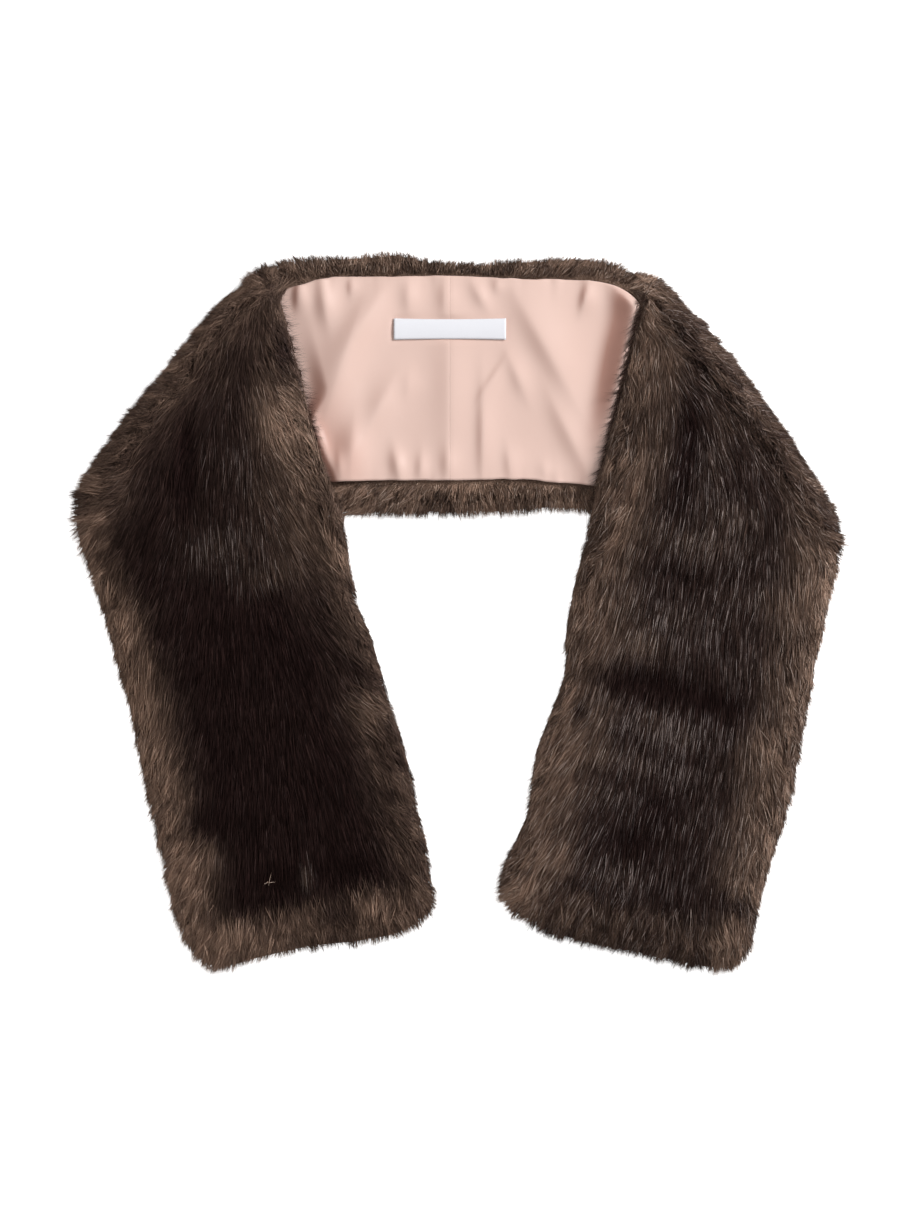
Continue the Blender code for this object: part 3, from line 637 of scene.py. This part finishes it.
def surfaceSamples(node, count, keep, draw):
    # points on a solid's faces with the smooth normal there, only where keep says that hair grows
    piece = weldedCopy(node, "sampler")
    mesh = piece.data
    mesh.calc_loop_triangles()
    corners = np.zeros(len(mesh.loop_triangles) * 3, np.int32)
    mesh.loop_triangles.foreach_get("vertices", corners)
    corners = corners.reshape(-1, 3)
    place, normal = points(mesh), points(mesh, "normal")
    bpy.data.objects.remove(piece)
    a, b, c = (place[corners[:, k]] for k in range(3))
    cross = np.cross(b - a, c - a)
    area = np.linalg.norm(cross, axis=1) / 2
    upward = cross[:, 2] / np.maximum(2 * area, 1e-12)
    # the sides grow denser hair than the top
    area *= 1 + 1.5 * np.clip(1 - upward, 0, 1)
    area[(upward < -0.45) | ((a + b + c)[:, 2] < 1.5 * mm)] = 0
    spots, facings, found = [], [], 0
    while found < count:
        face = draw.choice(len(area), count, p=area / area.sum())
        u, v = draw.random(count), draw.random(count)
        fold = u + v > 1
        u[fold], v[fold] = 1 - u[fold], 1 - v[fold]
        w = 1 - u - v
        spot = a[face] * w[:, None] + b[face] * u[:, None] + c[face] * v[:, None]
        facing = sum(normal[corners[face, k]] * share[:, None] for k, share in enumerate((w, u, v)))
        good = keep(spot)
        spots.append(spot[good])
        facings.append(facing[good])
        found += int(good.sum())
    return np.concatenate(spots)[:count], unit(np.concatenate(facings)[:count])


def nearestLock(x, y, pitch, which):
    # the nearest point of a loose grid, and its cell
    cellX, cellY = np.floor(x / pitch), np.floor(y / pitch)
    best = np.full(x.shape, np.inf)
    lockX, lockY, idX, idY = (np.zeros_like(x) for _ in range(4))
    for stepX in (-1, 0, 1):
        for stepY in (-1, 0, 1):
            cx, cy = cellX + stepX, cellY + stepY
            px = (cx + scatter(cx, cy, which)) * pitch
            py = (cy + scatter(cx, cy, which + 1)) * pitch
            gap = (px - x) ** 2 + (py - y) ** 2
            nearer = gap < best
            best = np.where(nearer, gap, best)
            lockX, lockY = np.where(nearer, px, lockX), np.where(nearer, py, lockY)
            idX, idY = np.where(nearer, cx, idX), np.where(nearer, cy, idY)
    return lockX, lockY, idX, idY


def heightField(node):
    # how high the top of a solid lies over a grid that all the solids share, with 0 beside it
    piece = weldedCopy(node, "sampler")
    corners = [list(face.vertices) for face in piece.data.polygons]
    tree = BVHTree.FromPolygons(points(piece.data).tolist(), corners)
    bpy.data.objects.remove(piece)
    low, high = cadBox
    grid = pile["grid"]
    columns, rows = (int((high[k] - low[k]) / grid) + 6 for k in (0, 1))
    heights = np.zeros((columns, rows))
    for i in range(columns):
        for j in range(rows):
            place = (low[0] + (i - 2) * grid, low[1] + (j - 2) * grid, 0.1)
            hit = tree.ray_cast(place, (0, 0, -1))[0]
            heights[i, j] = hit.z if hit else 0
    return heights


def heightAt(heights, x, y):
    gx, gy = (
        np.clip((value - cadBox[0][k]) / pile["grid"] + 2, 0, heights.shape[k] - 1.001)
        for k, value in enumerate((x, y))
    )
    i, j = gx.astype(int), gy.astype(int)
    tx, ty = gx - i, gy - j
    near = heights[i, j] * (1 - ty) + heights[i, j + 1] * ty
    return near * (1 - tx) + (heights[i + 1, j] * (1 - ty) + heights[i + 1, j + 1] * ty) * tx


def hairCorners(root, bend, tip, way, roll, width):
    # a four-cornered sliver, pointed at both ends and widest at its bend, with its faces looking out
    side = np.stack([-way[:, 1] * np.cos(roll), way[:, 0] * np.cos(roll), np.sin(roll)], 1)
    side = side * width[:, None] / 2
    first, second = bend + side, bend - side
    turned = np.sum(np.cross(first - root, second - root) * (tip - root), 1) < 0
    first[turned], second[turned] = second[turned], first[turned]
    return np.stack([root, first, second, tip], 1)


def edgeWisps(arm, field, draw):
    # fine dark hairs that reach out of an end over the lining
    count = arm["wisps"]
    turn = math.radians(arm["heading"])
    up = np.array([math.cos(turn), math.sin(turn)])
    inward = np.array([up[1], -up[0]]) * arm["inward"]
    station = draw.uniform(*arm["wispStations"], count)
    offsets = np.arange(60, 96, 0.5) * mm
    tail = np.array(arm["tail"])
    spots = tail + station[:, None, None] * up + offsets[None, :, None] * inward
    inside = heightAt(field, spots[..., 0], spots[..., 1]) > 12 * mm
    edge = offsets[inside.shape[1] - 1 - np.argmax(inside[:, ::-1], axis=1)]
    start = tail + station[:, None] * up + edge[:, None] * inward
    start = start + 0.4 * np.minimum(armFlow(arm, *start.T)[2], 0)[:, None] * inward
    idX, idY = nearestLock(*start.T, 4 * mm, 44)[2:]
    angle = np.radians(arm["wispWay"] + 20 * (scatter(idX, idY, 45) - 0.5) + draw.normal(0, 20, count))
    way = np.stack([np.cos(angle), np.sin(angle)], 1)
    out = 1.5 * mm + 9 * mm * draw.random(count) ** 1.4
    # above whatever the satin does there
    end = start + way * out[:, None]
    satin = np.maximum(liningHeight(*end.T), liningHeight(*start.T)) + lining["cloth"]
    tip = np.column_stack([end, satin + draw.uniform(0.8 * mm, 2 * mm, count)])
    bend = np.column_stack([start - way * 0.5 * mm, satin + draw.uniform(2 * mm, 3.4 * mm, count)])
    rootLevel = np.maximum(15 * mm, satin) + draw.uniform(0, 1.6 * mm, count)
    root = np.column_stack([start - way * 5 * mm, rootLevel])
    bend[:, 2] = np.maximum(bend[:, 2], (rootLevel + tip[:, 2]) / 2 + 0.6 * mm)
    roll, width = draw.uniform(-0.6, 0.6, count), draw.uniform(0.18 * mm, 0.28 * mm, count)
    corners = hairCorners(root, bend, tip, way, roll, width)
    values = np.stack([draw.uniform(0.1, 0.55, count), 0 * out, draw.uniform(0.2, 0.8, count)])
    lean = unit(np.column_stack([way * 0.2, 1 + 0 * out]))
    return corners, values, lean


def strayHairs(arm, field):
    # the long bright hairs, just over the pile
    rows = arm["strays"]
    tip = np.array([(row.x, row.y) for row in rows]) * mm
    turn = np.radians([row.way for row in rows])
    way = np.stack([np.cos(turn), np.sin(turn)], 1)
    long = np.array([row.long for row in rows])[:, None] * mm
    ends = [tip - way * long * share for share in (1.0, 0.5, 0.0)]
    root, bend, tip = (
        np.column_stack([end, heightAt(field, *end.T) + lift * mm])
        for end, lift in zip(ends, (0.2, 1.4, 0.6))
    )
    values = np.tile([[1.0], [1.2], [1.0]], len(rows))
    corners = hairCorners(root, bend, tip, way, np.zeros(len(rows)), np.full(len(rows), 0.26 * mm))
    return corners, values, np.tile([[0.3, 0.2, 0.93]], (len(rows), 1))


def combHairs(kind, ground, count, keep, draw):
    # the corners of each hair, the values that its colour reads, and the way that it faces
    hair = pile[kind]
    node, field, rooted, flow, tone = ground
    spot, facing = surfaceSamples(node, count, keep, draw)
    x, y = spot[:, 0], spot[:, 1]
    turn, ruffled, reach = flow(x, y)
    lockX, lockY, idX, idY = nearestLock(x, y, pile["lock"], 40)
    rim = 1 - eased(0.25, 0.85, facing[:, 2])
    turn = turn + (scatter(idX, idY, 51) - 0.5) * (0.08 + 0.55 * ruffled)
    turn = turn + draw.normal(0, 0.06 + 0.14 * ruffled)
    way = np.stack([np.cos(turn), np.sin(turn)], 1)
    way = unit(way + facing[:, :2] * (rim * draw.uniform(0, hair["splay"], count))[:, None])
    lockDepth = (scatter(idX, idY, 54) - 0.5) * ruffled
    sunk = draw.uniform(*hair["sunk"], count) * mm * (1 - 0.6 * rim) + 2.2 * mm * lockDepth * (1 - rim)
    tip = spot - facing * sunk[:, None]
    # tips of one lock come together, and over an edge each lock reaches out as far as it likes
    pull = pile["gather"] * draw.uniform(0.4, 1.0, count) * (0.15 + 0.85 * ruffled) * (1 - 0.75 * rim)
    tip[:, 0] += (lockX - x) * pull
    tip[:, 1] += (lockY - y) * pull
    stray = (draw.random(count) > 0.96) * draw.uniform(0.5 * mm, 3 * mm, count)
    uneven = pile["reach"] * (scatter(idX, idY, 55) - 0.5) * ruffled
    out = rim * (reach + uneven + draw.normal(0, 1.2 * mm, count) + stray)
    tip[:, :2] += way * out[:, None]
    length = hair["length"] * draw.uniform(0.75, 1.2, count) * (0.85 + 0.3 * scatter(idX, idY, 52))
    length = length * (1 - 0.22 * ruffled)
    for _ in range(5):
        # a hair that would start outside the pile is a shorter one
        start = tip[:, :2] - way * length[:, None]
        length = np.where(rooted(*start.T), length, 0.6 * length)
    # a hair shows most between its bend and its tip, so its colour is read there
    middle = spot[:, :2] - way * (0.35 * length)[:, None]
    coat, frost, dip = tone(*middle.T)
    dip = dip * (1 - rim)
    tip[:, 2] -= dip
    root = tip[:, :2] - way * length[:, None]
    bend = tip[:, :2] - way * (pile["bend"] * length)[:, None]
    uneven = draw.uniform(0.6, 1.4, count)
    rootLevel = heightAt(field, *root.T) - hair["root"] * uneven - sunk - dip
    bendLevel = heightAt(field, *bend.T) - hair["lie"] * uneven - sunk - dip
    rootLevel = np.maximum(rootLevel, 1.2 * mm)
    tip[:, 2] = np.maximum(tip[:, 2], 0.5 * mm)
    straight = tip[:, 2] + (rootLevel - tip[:, 2]) * pile["bend"]
    bendLevel = np.maximum(bendLevel, straight + 0.15 * mm)
    root, bend = np.column_stack([root, rootLevel]), np.column_stack([bend, bendLevel])
    roll = draw.uniform(-0.6, 0.6, count)
    corners = hairCorners(root, bend, tip, way, roll, hair["width"] * draw.uniform(0.7, 1.3, count))
    lockTone = (0.10 + 0.24 * ruffled) * (scatter(idX, idY, 53) - 0.5)
    coat = coat + lockTone * (0.2 + coat) + draw.normal(0, 0.035, count)
    values = np.stack([np.clip(coat, 0, 1), frost, draw.random(count)])
    lean = facing + np.array([0, 0, 0.8]) + draw.normal(0, 0.3, (count, 3))
    return corners, values, unit(lean - 0.2 * np.column_stack([way, 0 * x]))


def growPile(name, ground, counts, keep, seed, further=None):
    draw = np.random.default_rng(seed)
    groups = [
        combHairs(kind, ground, count, keep, draw) for kind, count in zip(("under", "guard"), counts)
    ]
    if further:
        groups.append(further(draw))
    hairs, values, lean = (np.concatenate(parts, axis=way) for parts, way in zip(zip(*groups), (0, 1, 0)))
    sliver = np.array([[0, 2, 1], [0, 1, 3], [1, 2, 3], [0, 3, 2]])
    faces = (np.arange(len(hairs))[:, None, None] * 4 + sliver).reshape(-1, 3)
    mesh = bpy.data.meshes.new(name)
    mesh.vertices.add(len(hairs) * 4)
    mesh.vertices.foreach_set("co", hairs.astype(np.float32).ravel())
    mesh.loops.add(len(faces) * 3)
    mesh.loops.foreach_set("vertex_index", faces.astype(np.int32).ravel())
    mesh.polygons.add(len(faces))
    mesh.polygons.foreach_set("loop_start", np.arange(0, len(faces) * 3, 3, dtype=np.int32))
    mesh.update(calc_edges=True)
    for label, value in zip(("coat", "frost", "hair"), values):
        setAttribute(mesh, label, np.repeat(value, 4))
    setAttribute(mesh, "along", np.tile([0.0, 0.4, 0.4, 1.0], len(hairs)))
    mesh.shade_smooth()
    # the pile takes the light as one soft surface
    mesh.normals_split_custom_set_from_vertices(np.repeat(lean, 4, axis=0).tolist())
    print(name, len(hairs), "hairs")
    return newObject(name, mesh)


def finishFur(body, piles, node, wool, hair):
    body.data.materials.append(wool)
    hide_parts(node)
    for piece in piles:
        piece.data.materials.append(hair)
    for piece in [body, *piles]:
        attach(piece, "root")


def dressArm(arm, name, seed, wool, hair):
    tone, flow = partial(armTone, arm), partial(armFlow, arm)

    def isUpper(spot):
        return armReading(arm, *spot.T[:2])[0] > pile["armSplit"]

    def isLower(spot):
        return ~isUpper(spot)

    node = arm["node"]
    own, under = heightField(node), heightField("fur_middle")
    field = np.maximum(own, under)

    def rooted(x, y):
        # at the collar a hair may start from the middle of the strip, past its seams
        onMiddle = (heightAt(under, x, y) > 9 * mm) & pastSeams(x, y, 0.3 * mm)
        return (heightAt(own, x, y) > 6 * mm) | onMiddle

    def strays(draw):
        return strayHairs(arm, field)

    ground = (node, field, rooted, flow, tone)
    body = woolBody(node, name + "Wool", tone, flow, thin=3.4 * mm)
    wisps = partial(edgeWisps, arm, own)
    upper = growPile(name + "PileUpper", ground, pile["armHairs"], isUpper, seed, wisps)
    further = strays if arm["strays"] else None
    lower = growPile(name + "PileLower", ground, pile["armHairs"], isLower, seed + 1, further)
    finishFur(body, [upper, lower], node, wool, hair)


# The middle of the strip: the seams of its lining, read at places along it, in mm
Seams = namedtuple("Seams", "x low high")
seams = [Seams(*row) for row in [
    (-246, 80, 190), (-120, 79, 197), (-114, 79, 199.5), (-106, 79, 204), (-98, 79, 205.5),
    (-90, 80, 208.5), (-60, 81.5, 210.5), (-34, 81.5, 211), (-20, 81.5, 211.5), (5, 82, 210.8),
    (37, 82.3, 209.5), (62, 80.5, 209), (84, 78.5, 208), (98, 77.5, 205), (106, 77.3, 201.5),
    (112, 77, 196), (117, 77, 189), (123, 77, 179), (132, 76, 170), (246, 70, 120),
]]


def seamLine(x, column):
    # a smooth curve through the seam's places
    places = np.array([row.x for row in seams]) * mm
    values = np.array([getattr(row, column) for row in seams]) * mm
    slopes = np.gradient(values, places)
    k = np.clip(np.searchsorted(places, x) - 1, 0, len(places) - 2)
    span = places[k + 1] - places[k]
    t = (x - places[k]) / span
    return (
        values[k] * (1 + 2 * t) * (1 - t) ** 2 + slopes[k] * span * t * (1 - t) ** 2
        + values[k + 1] * t * t * (3 - 2 * t) - slopes[k + 1] * span * t * t * (1 - t)
    )


def pastSeams(x, y, margin):
    # where fur shows beside the lining
    return (y > seamLine(x, "high") + margin) | (y < seamLine(x, "low") - margin)


def dressMiddle(wool, hair):
    field = heightField("fur_middle")

    def keep(spot):
        # nothing grows on the lining or far in under the ends
        past = pastSeams(*spot.T[:2], 0.6 * mm)
        for arm in (leftArm, rightArm):
            farIn = np.where(spot[:, 1] > 180 * mm, 32 * mm, 50 * mm)
            past &= armReading(arm, *spot.T[:2])[1] > farIn
        return past

    def rooted(x, y):
        return pastSeams(x, y, 0.3 * mm) & (heightAt(field, x, y) > 3 * mm)

    ground = ("fur_middle", field, rooted, middleFlow, middleTone)
    body = woolBody("fur_middle", "middleWool", middleTone, middleFlow, thin=2.0 * mm)
    edges = growPile("middlePile", ground, middleStrip["hairs"], keep, 5)
    finishFur(body, [edges], "fur_middle", wool, hair)


# Painted shade on the lining: where it is turned furthest from the light and where the ends shade it, in mm
# and in degrees from +X
Shade = namedtuple("Shade", "x y run long wide strength")

lining = {
    "level": 11.3 * mm,  # its underside, where it lies flat
    "loft": 1.2 * mm,  # how far it stands off the pile between its creases
    "cloth": 0.6 * mm,
    "seamX": -5 * mm,
    "gap": 0.04 * mm,
    "turnedIn": 0.06 * mm,  # the cloth turns down into the centre back seam
    "tucked": 66 * mm,  # it runs in under an end up to this offset
    "columns": 84,
    "rows": 88,
    "cut": (130 * mm, 118 * mm),
    "shades": [Shade(*row) for row in [
        (-75, 106, 110, 74, 30, 0.5), (-86, 114, 112, 50, 12, 0.4), (95, 160, 78, 110, 13, 0.55),
    ]],
}

# Soft folds and gathers in mm. A crest runs at an angle in degrees from +X, and falls away over
# west mm on one side and east mm on the other
Crease = namedtuple("Crease", "x y run long west east high")
creases = [Crease(*row) for row in [
    (-56, 187, 58, 64, 12, 16, 3.4), (-74, 152, 72, 96, 22, 16, 6.0), (-49, 129, 63, 54, 12, 13, 3.4),
    (-67, 98, 86, 60, 17, 13, 6.2), (56, 166, 119, 100, 11, 22, 3.8), (70, 112, 116, 70, 9, 14, 2.6),
    (38, 148, 113, 40, 7, 11, 2.0), (22, 146, 57, 32, 3, 10, 1.2), (16, 112, 90, 80, 5, 12, 2.2),
    (-31, 143, 85, 24, 7, 10, 1.0), (-5, 140, 90, 130, 14, 18, 2.4), (33, 92, 96, 30, 5, 11, 1.6),
    (-101, 198, 85, 24, 4, 9, 3.0), (-84, 196, 98, 38, 8, 10, 3.6), (-67, 204, 90, 14, 3, 7, 1.4),
    (-31, 198, 92, 28, 7, 10, 2.2), (-8, 198, 90, 28, 6, 10, 1.6), (14, 199, 118, 26, 6, 8, 1.9),
    (25, 205, 85, 12, 4, 6, 1.2), (81, 198, 76, 24, 4, 11, 2.6), (105.5, 160, 77, 150, 12, 4, 10.5),
    (-38, 92, 100, 28, 6, 8, 2.6), (-23, 90, 88, 24, 5, 7, 1.8), (-6, 92, 92, 28, 6, 8, 1.8),
    (-74, 90, 96, 24, 6, 6, 2.2), (55, 88, 98, 16, 6, 9, 1.0), (106, 196, 134, 34, 11, 5, 4.2),
    (-87, 108, 113, 70, 5, 5.5, 3.2),
]]


labelTape = {
    "size": (71 * mm, 13.4 * mm),
    "centre": (-4.8 * mm, 177.4 * mm),
    "lift": 1.2 * mm,
    "cloth": 0.45 * mm,
    "bow": 0.5 * mm,  # how far its long edges draw in
    "droop": 0.5 * mm,  # how far they hang
    "curl": 0.3 * mm,  # how far its ends rise
}


def liningShown(x, y):
    # the creases die out where the folded ends press on the lining
    leftGap, rightGap = (armReading(arm, x, y)[1] for arm in (leftArm, rightArm))
    # further in at the left where the lining stands up along the end
    along = eased(112 * mm, 142 * mm, y)
    start = (74 + 8 * along) * mm
    return eased(start, start + (5 + 9 * along) * mm, leftGap) * eased(75 * mm, 80 * mm, rightGap)


def creaseHeight(crease, x, y):
    turn = math.radians(crease.run)
    dx, dy = x - crease.x * mm, y - crease.y * mm
    along = dx * math.cos(turn) + dy * math.sin(turn)
    east = dx * math.sin(turn) - dy * math.cos(turn)
    side = np.where(east > 0, crease.east, crease.west) * mm
    fall = 1.5 * (2 * along / (crease.long * mm)) ** 2 + 1.5 * np.abs(east / side) ** 1.6
    return crease.high * mm * np.exp(-fall)


def liningHeight(x, y):
    raised = np.full_like(x, lining["loft"])
    for crease in creases:
        raised = raised + creaseHeight(crease, x, y)
    # the label's stitches hold the satin flat under it
    overX, overY = np.abs(x - labelTape["centre"][0]), np.abs(y - labelTape["centre"][1])
    held = (1 - eased(33 * mm, 39 * mm, overX)) * (1 - eased(5 * mm, 10 * mm, overY))
    raised = raised + (lining["loft"] - raised) * held
    # puckers along both seams
    toSeam = np.maximum(np.minimum(seamLine(x, "high") - y, y - seamLine(x, "low")), 0)
    raised = raised + 0.9 * mm * (softNoise(x, 0 * y, 4.5 * mm, 61) - 0.45) * np.exp(-toSeam / (6 * mm))
    return lining["level"] + np.maximum(raised, 0) * liningShown(x, y)


def finishCloth(piece, place, cloth, material, node):
    # moves the grid's points, gives it the cloth's thickness, hides the part that it stands in for and
    # hangs it from the root
    piece.data.vertices.foreach_set("co", np.stack(place, 1).astype(np.float32).ravel())
    piece.data.update()
    applyModifier(piece, "SOLIDIFY", thickness=cloth, offset=1)
    piece.data.shade_smooth()
    piece.data.materials.append(material)
    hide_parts(node)
    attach(piece, "root")


def liningHalf(name, node, arm, satin):
    # half of the lining, from the centre back seam to under one end
    inward = arm["inward"]
    deselect()
    bpy.ops.mesh.primitive_grid_add(x_subdivisions=lining["columns"], y_subdivisions=lining["rows"], size=1)
    piece = bpy.context.active_object
    piece.name = name
    flat = points(piece.data)
    fromSeam = 0.5 - flat[:, 0] * inward
    shareY = flat[:, 1] + 0.5
    low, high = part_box(node)
    seam = lining["seamX"] - inward * lining["gap"] / 2
    turn = math.radians(arm["heading"])
    y = 80 * mm + 130 * mm * shareY  # a first guess, drawn to the seams below
    for _ in range(6):
        # the far side runs along the end, a little way in under it
        offset = armReading(arm, np.zeros_like(y), y)[1]
        far = np.clip((lining["tucked"] - offset) / (math.sin(turn) * inward), low.x, high.x)
        x = seam + (far - seam) * fromSeam
        # the hems are a little uneven
        ruffle = 0.8 * mm * (softNoise(x, 0 * x, 7 * mm, 62) - 0.5)
        bottom, top = seamLine(x, "low") + 0.3 * mm - ruffle, seamLine(x, "high") - 0.3 * mm + ruffle
        y = bottom + (top - bottom) * shareY
    column = np.rint(fromSeam * lining["columns"])
    x = np.where(column == 1, seam - inward * 0.35 * mm, x)
    z = liningHeight(x, y) - lining["turnedIn"] * (column == 0)
    # painted shade: the satin darkens where it climbs to the east, away from the key light
    climb = (liningHeight(x + 0.7 * mm, y) - liningHeight(x - 0.7 * mm, y)) / (1.4 * mm)
    turned = 0.85 * eased(0.04, 0.8, climb)
    # painted shade patches, among them the shadow beside the right end
    for shade in lining["shades"]:
        near = mound(x - shade.x * mm, y - shade.y * mm, shade.run, shade.long * mm, shade.wide * mm)
        turned = turned + shade.strength * near
    setAttribute(piece.data, "turned", np.clip(turned, 0, 1))
    finishCloth(piece, (x, y, z), lining["cloth"], satin, node)
    print(name, "made")


def makeLabel(tape):
    label = labelTape
    deselect()
    bpy.ops.mesh.primitive_grid_add(x_subdivisions=60, y_subdivisions=10, size=1)
    piece = bpy.context.active_object
    piece.name = "labelTape"
    flat = points(piece.data)
    x = label["centre"][0] + flat[:, 0] * label["size"][0]
    y = label["centre"][1] + flat[:, 1] * label["size"][1]
    ends = np.abs(2 * flat[:, 0])
    bow = -label["bow"] * (1 - ends**2) * np.sign(flat[:, 1]) * np.abs(2 * flat[:, 1])
    lowest = lining["level"] + lining["loft"] + lining["cloth"] + label["lift"]
    z = lowest - label["droop"] * (2 * flat[:, 1]) ** 2 + label["curl"] * ends**3
    finishCloth(piece, (x, y + bow, z), label["cloth"], tape, "label")
    print("label made")


def makeFloor():
    deselect()
    bpy.ops.mesh.primitive_plane_add(size=6, location=(0, 0, -0.6 * mm))
    floor = bpy.context.active_object
    floor.name = "floor"
    finish = {
        "Base Color": (0.80, 0.80, 0.80, 1), "Emission Color": (1, 1, 1, 1), "Emission Strength": 0.95,
        "Roughness": 0.9, "Specular IOR Level": 0.1,
    }
    floor.data.materials.append(newMaterial("paleFloor", finish)[0])


def addLight(name, place, size, power):
    data = bpy.data.lights.new(name, "AREA")
    data.size = size
    data.energy = power
    lamp = newObject(name, data)
    lamp.location = place
    reach = math.hypot(place[0], place[1])
    lamp.rotation_euler = (math.atan2(reach, place[2]), 0, math.atan2(place[1], place[0]) + math.pi / 2)


def makeCamera():
    view = {"lens": 120, "sensor": 36, "frameHeight": 771 * mm, "level": 12 * mm}
    data = bpy.data.cameras.new("camera")
    data.sensor_fit = "VERTICAL"
    data.sensor_height = view["sensor"]
    data.lens = view["lens"]
    camera = newObject("camera", data)
    camera.location = (0, 0, view["level"] + view["frameHeight"] * view["lens"] / view["sensor"])
    bpy.context.scene.camera = camera


def makeWorld():
    world = bpy.data.worlds.new("studio")
    world.use_nodes = True
    setInputs(world.node_tree.nodes["Background"], {"Color": (1.0, 0.955, 0.925, 1), "Strength": 0.26})
    bpy.context.scene.world = world
    bpy.context.scene.view_settings.view_transform = "Standard"


coatColour, weave = coatColourGroup(), weaveGroup()
woolCloth = furMaterial("furWool", coatColour, True)
hairCloth = furMaterial("furHair", coatColour, False)
dressMiddle(woolCloth, hairCloth)
dressArm(leftArm, "leftEnd", 11, woolCloth, hairCloth)
dressArm(rightArm, "rightEnd", 17, woolCloth, hairCloth)
satinCloth = satinMaterial(weave)
liningHalf("satinLeft", "lining_left", leftArm, satinCloth)
liningHalf("satinRight", "lining_right", rightArm, satinCloth)
makeLabel(tapeMaterial(weave))
print("all pieces made")

makeFloor()
addLight("key", (1.80, 0.95, 1.48), 1.0, 66)
addLight("fill", (-1.3, 0.2, 1.5), 1.4, 3.5)
addLight("top", (0.1, 0.1, 2.4), 1.4, 6)
makeCamera()
makeWorld()
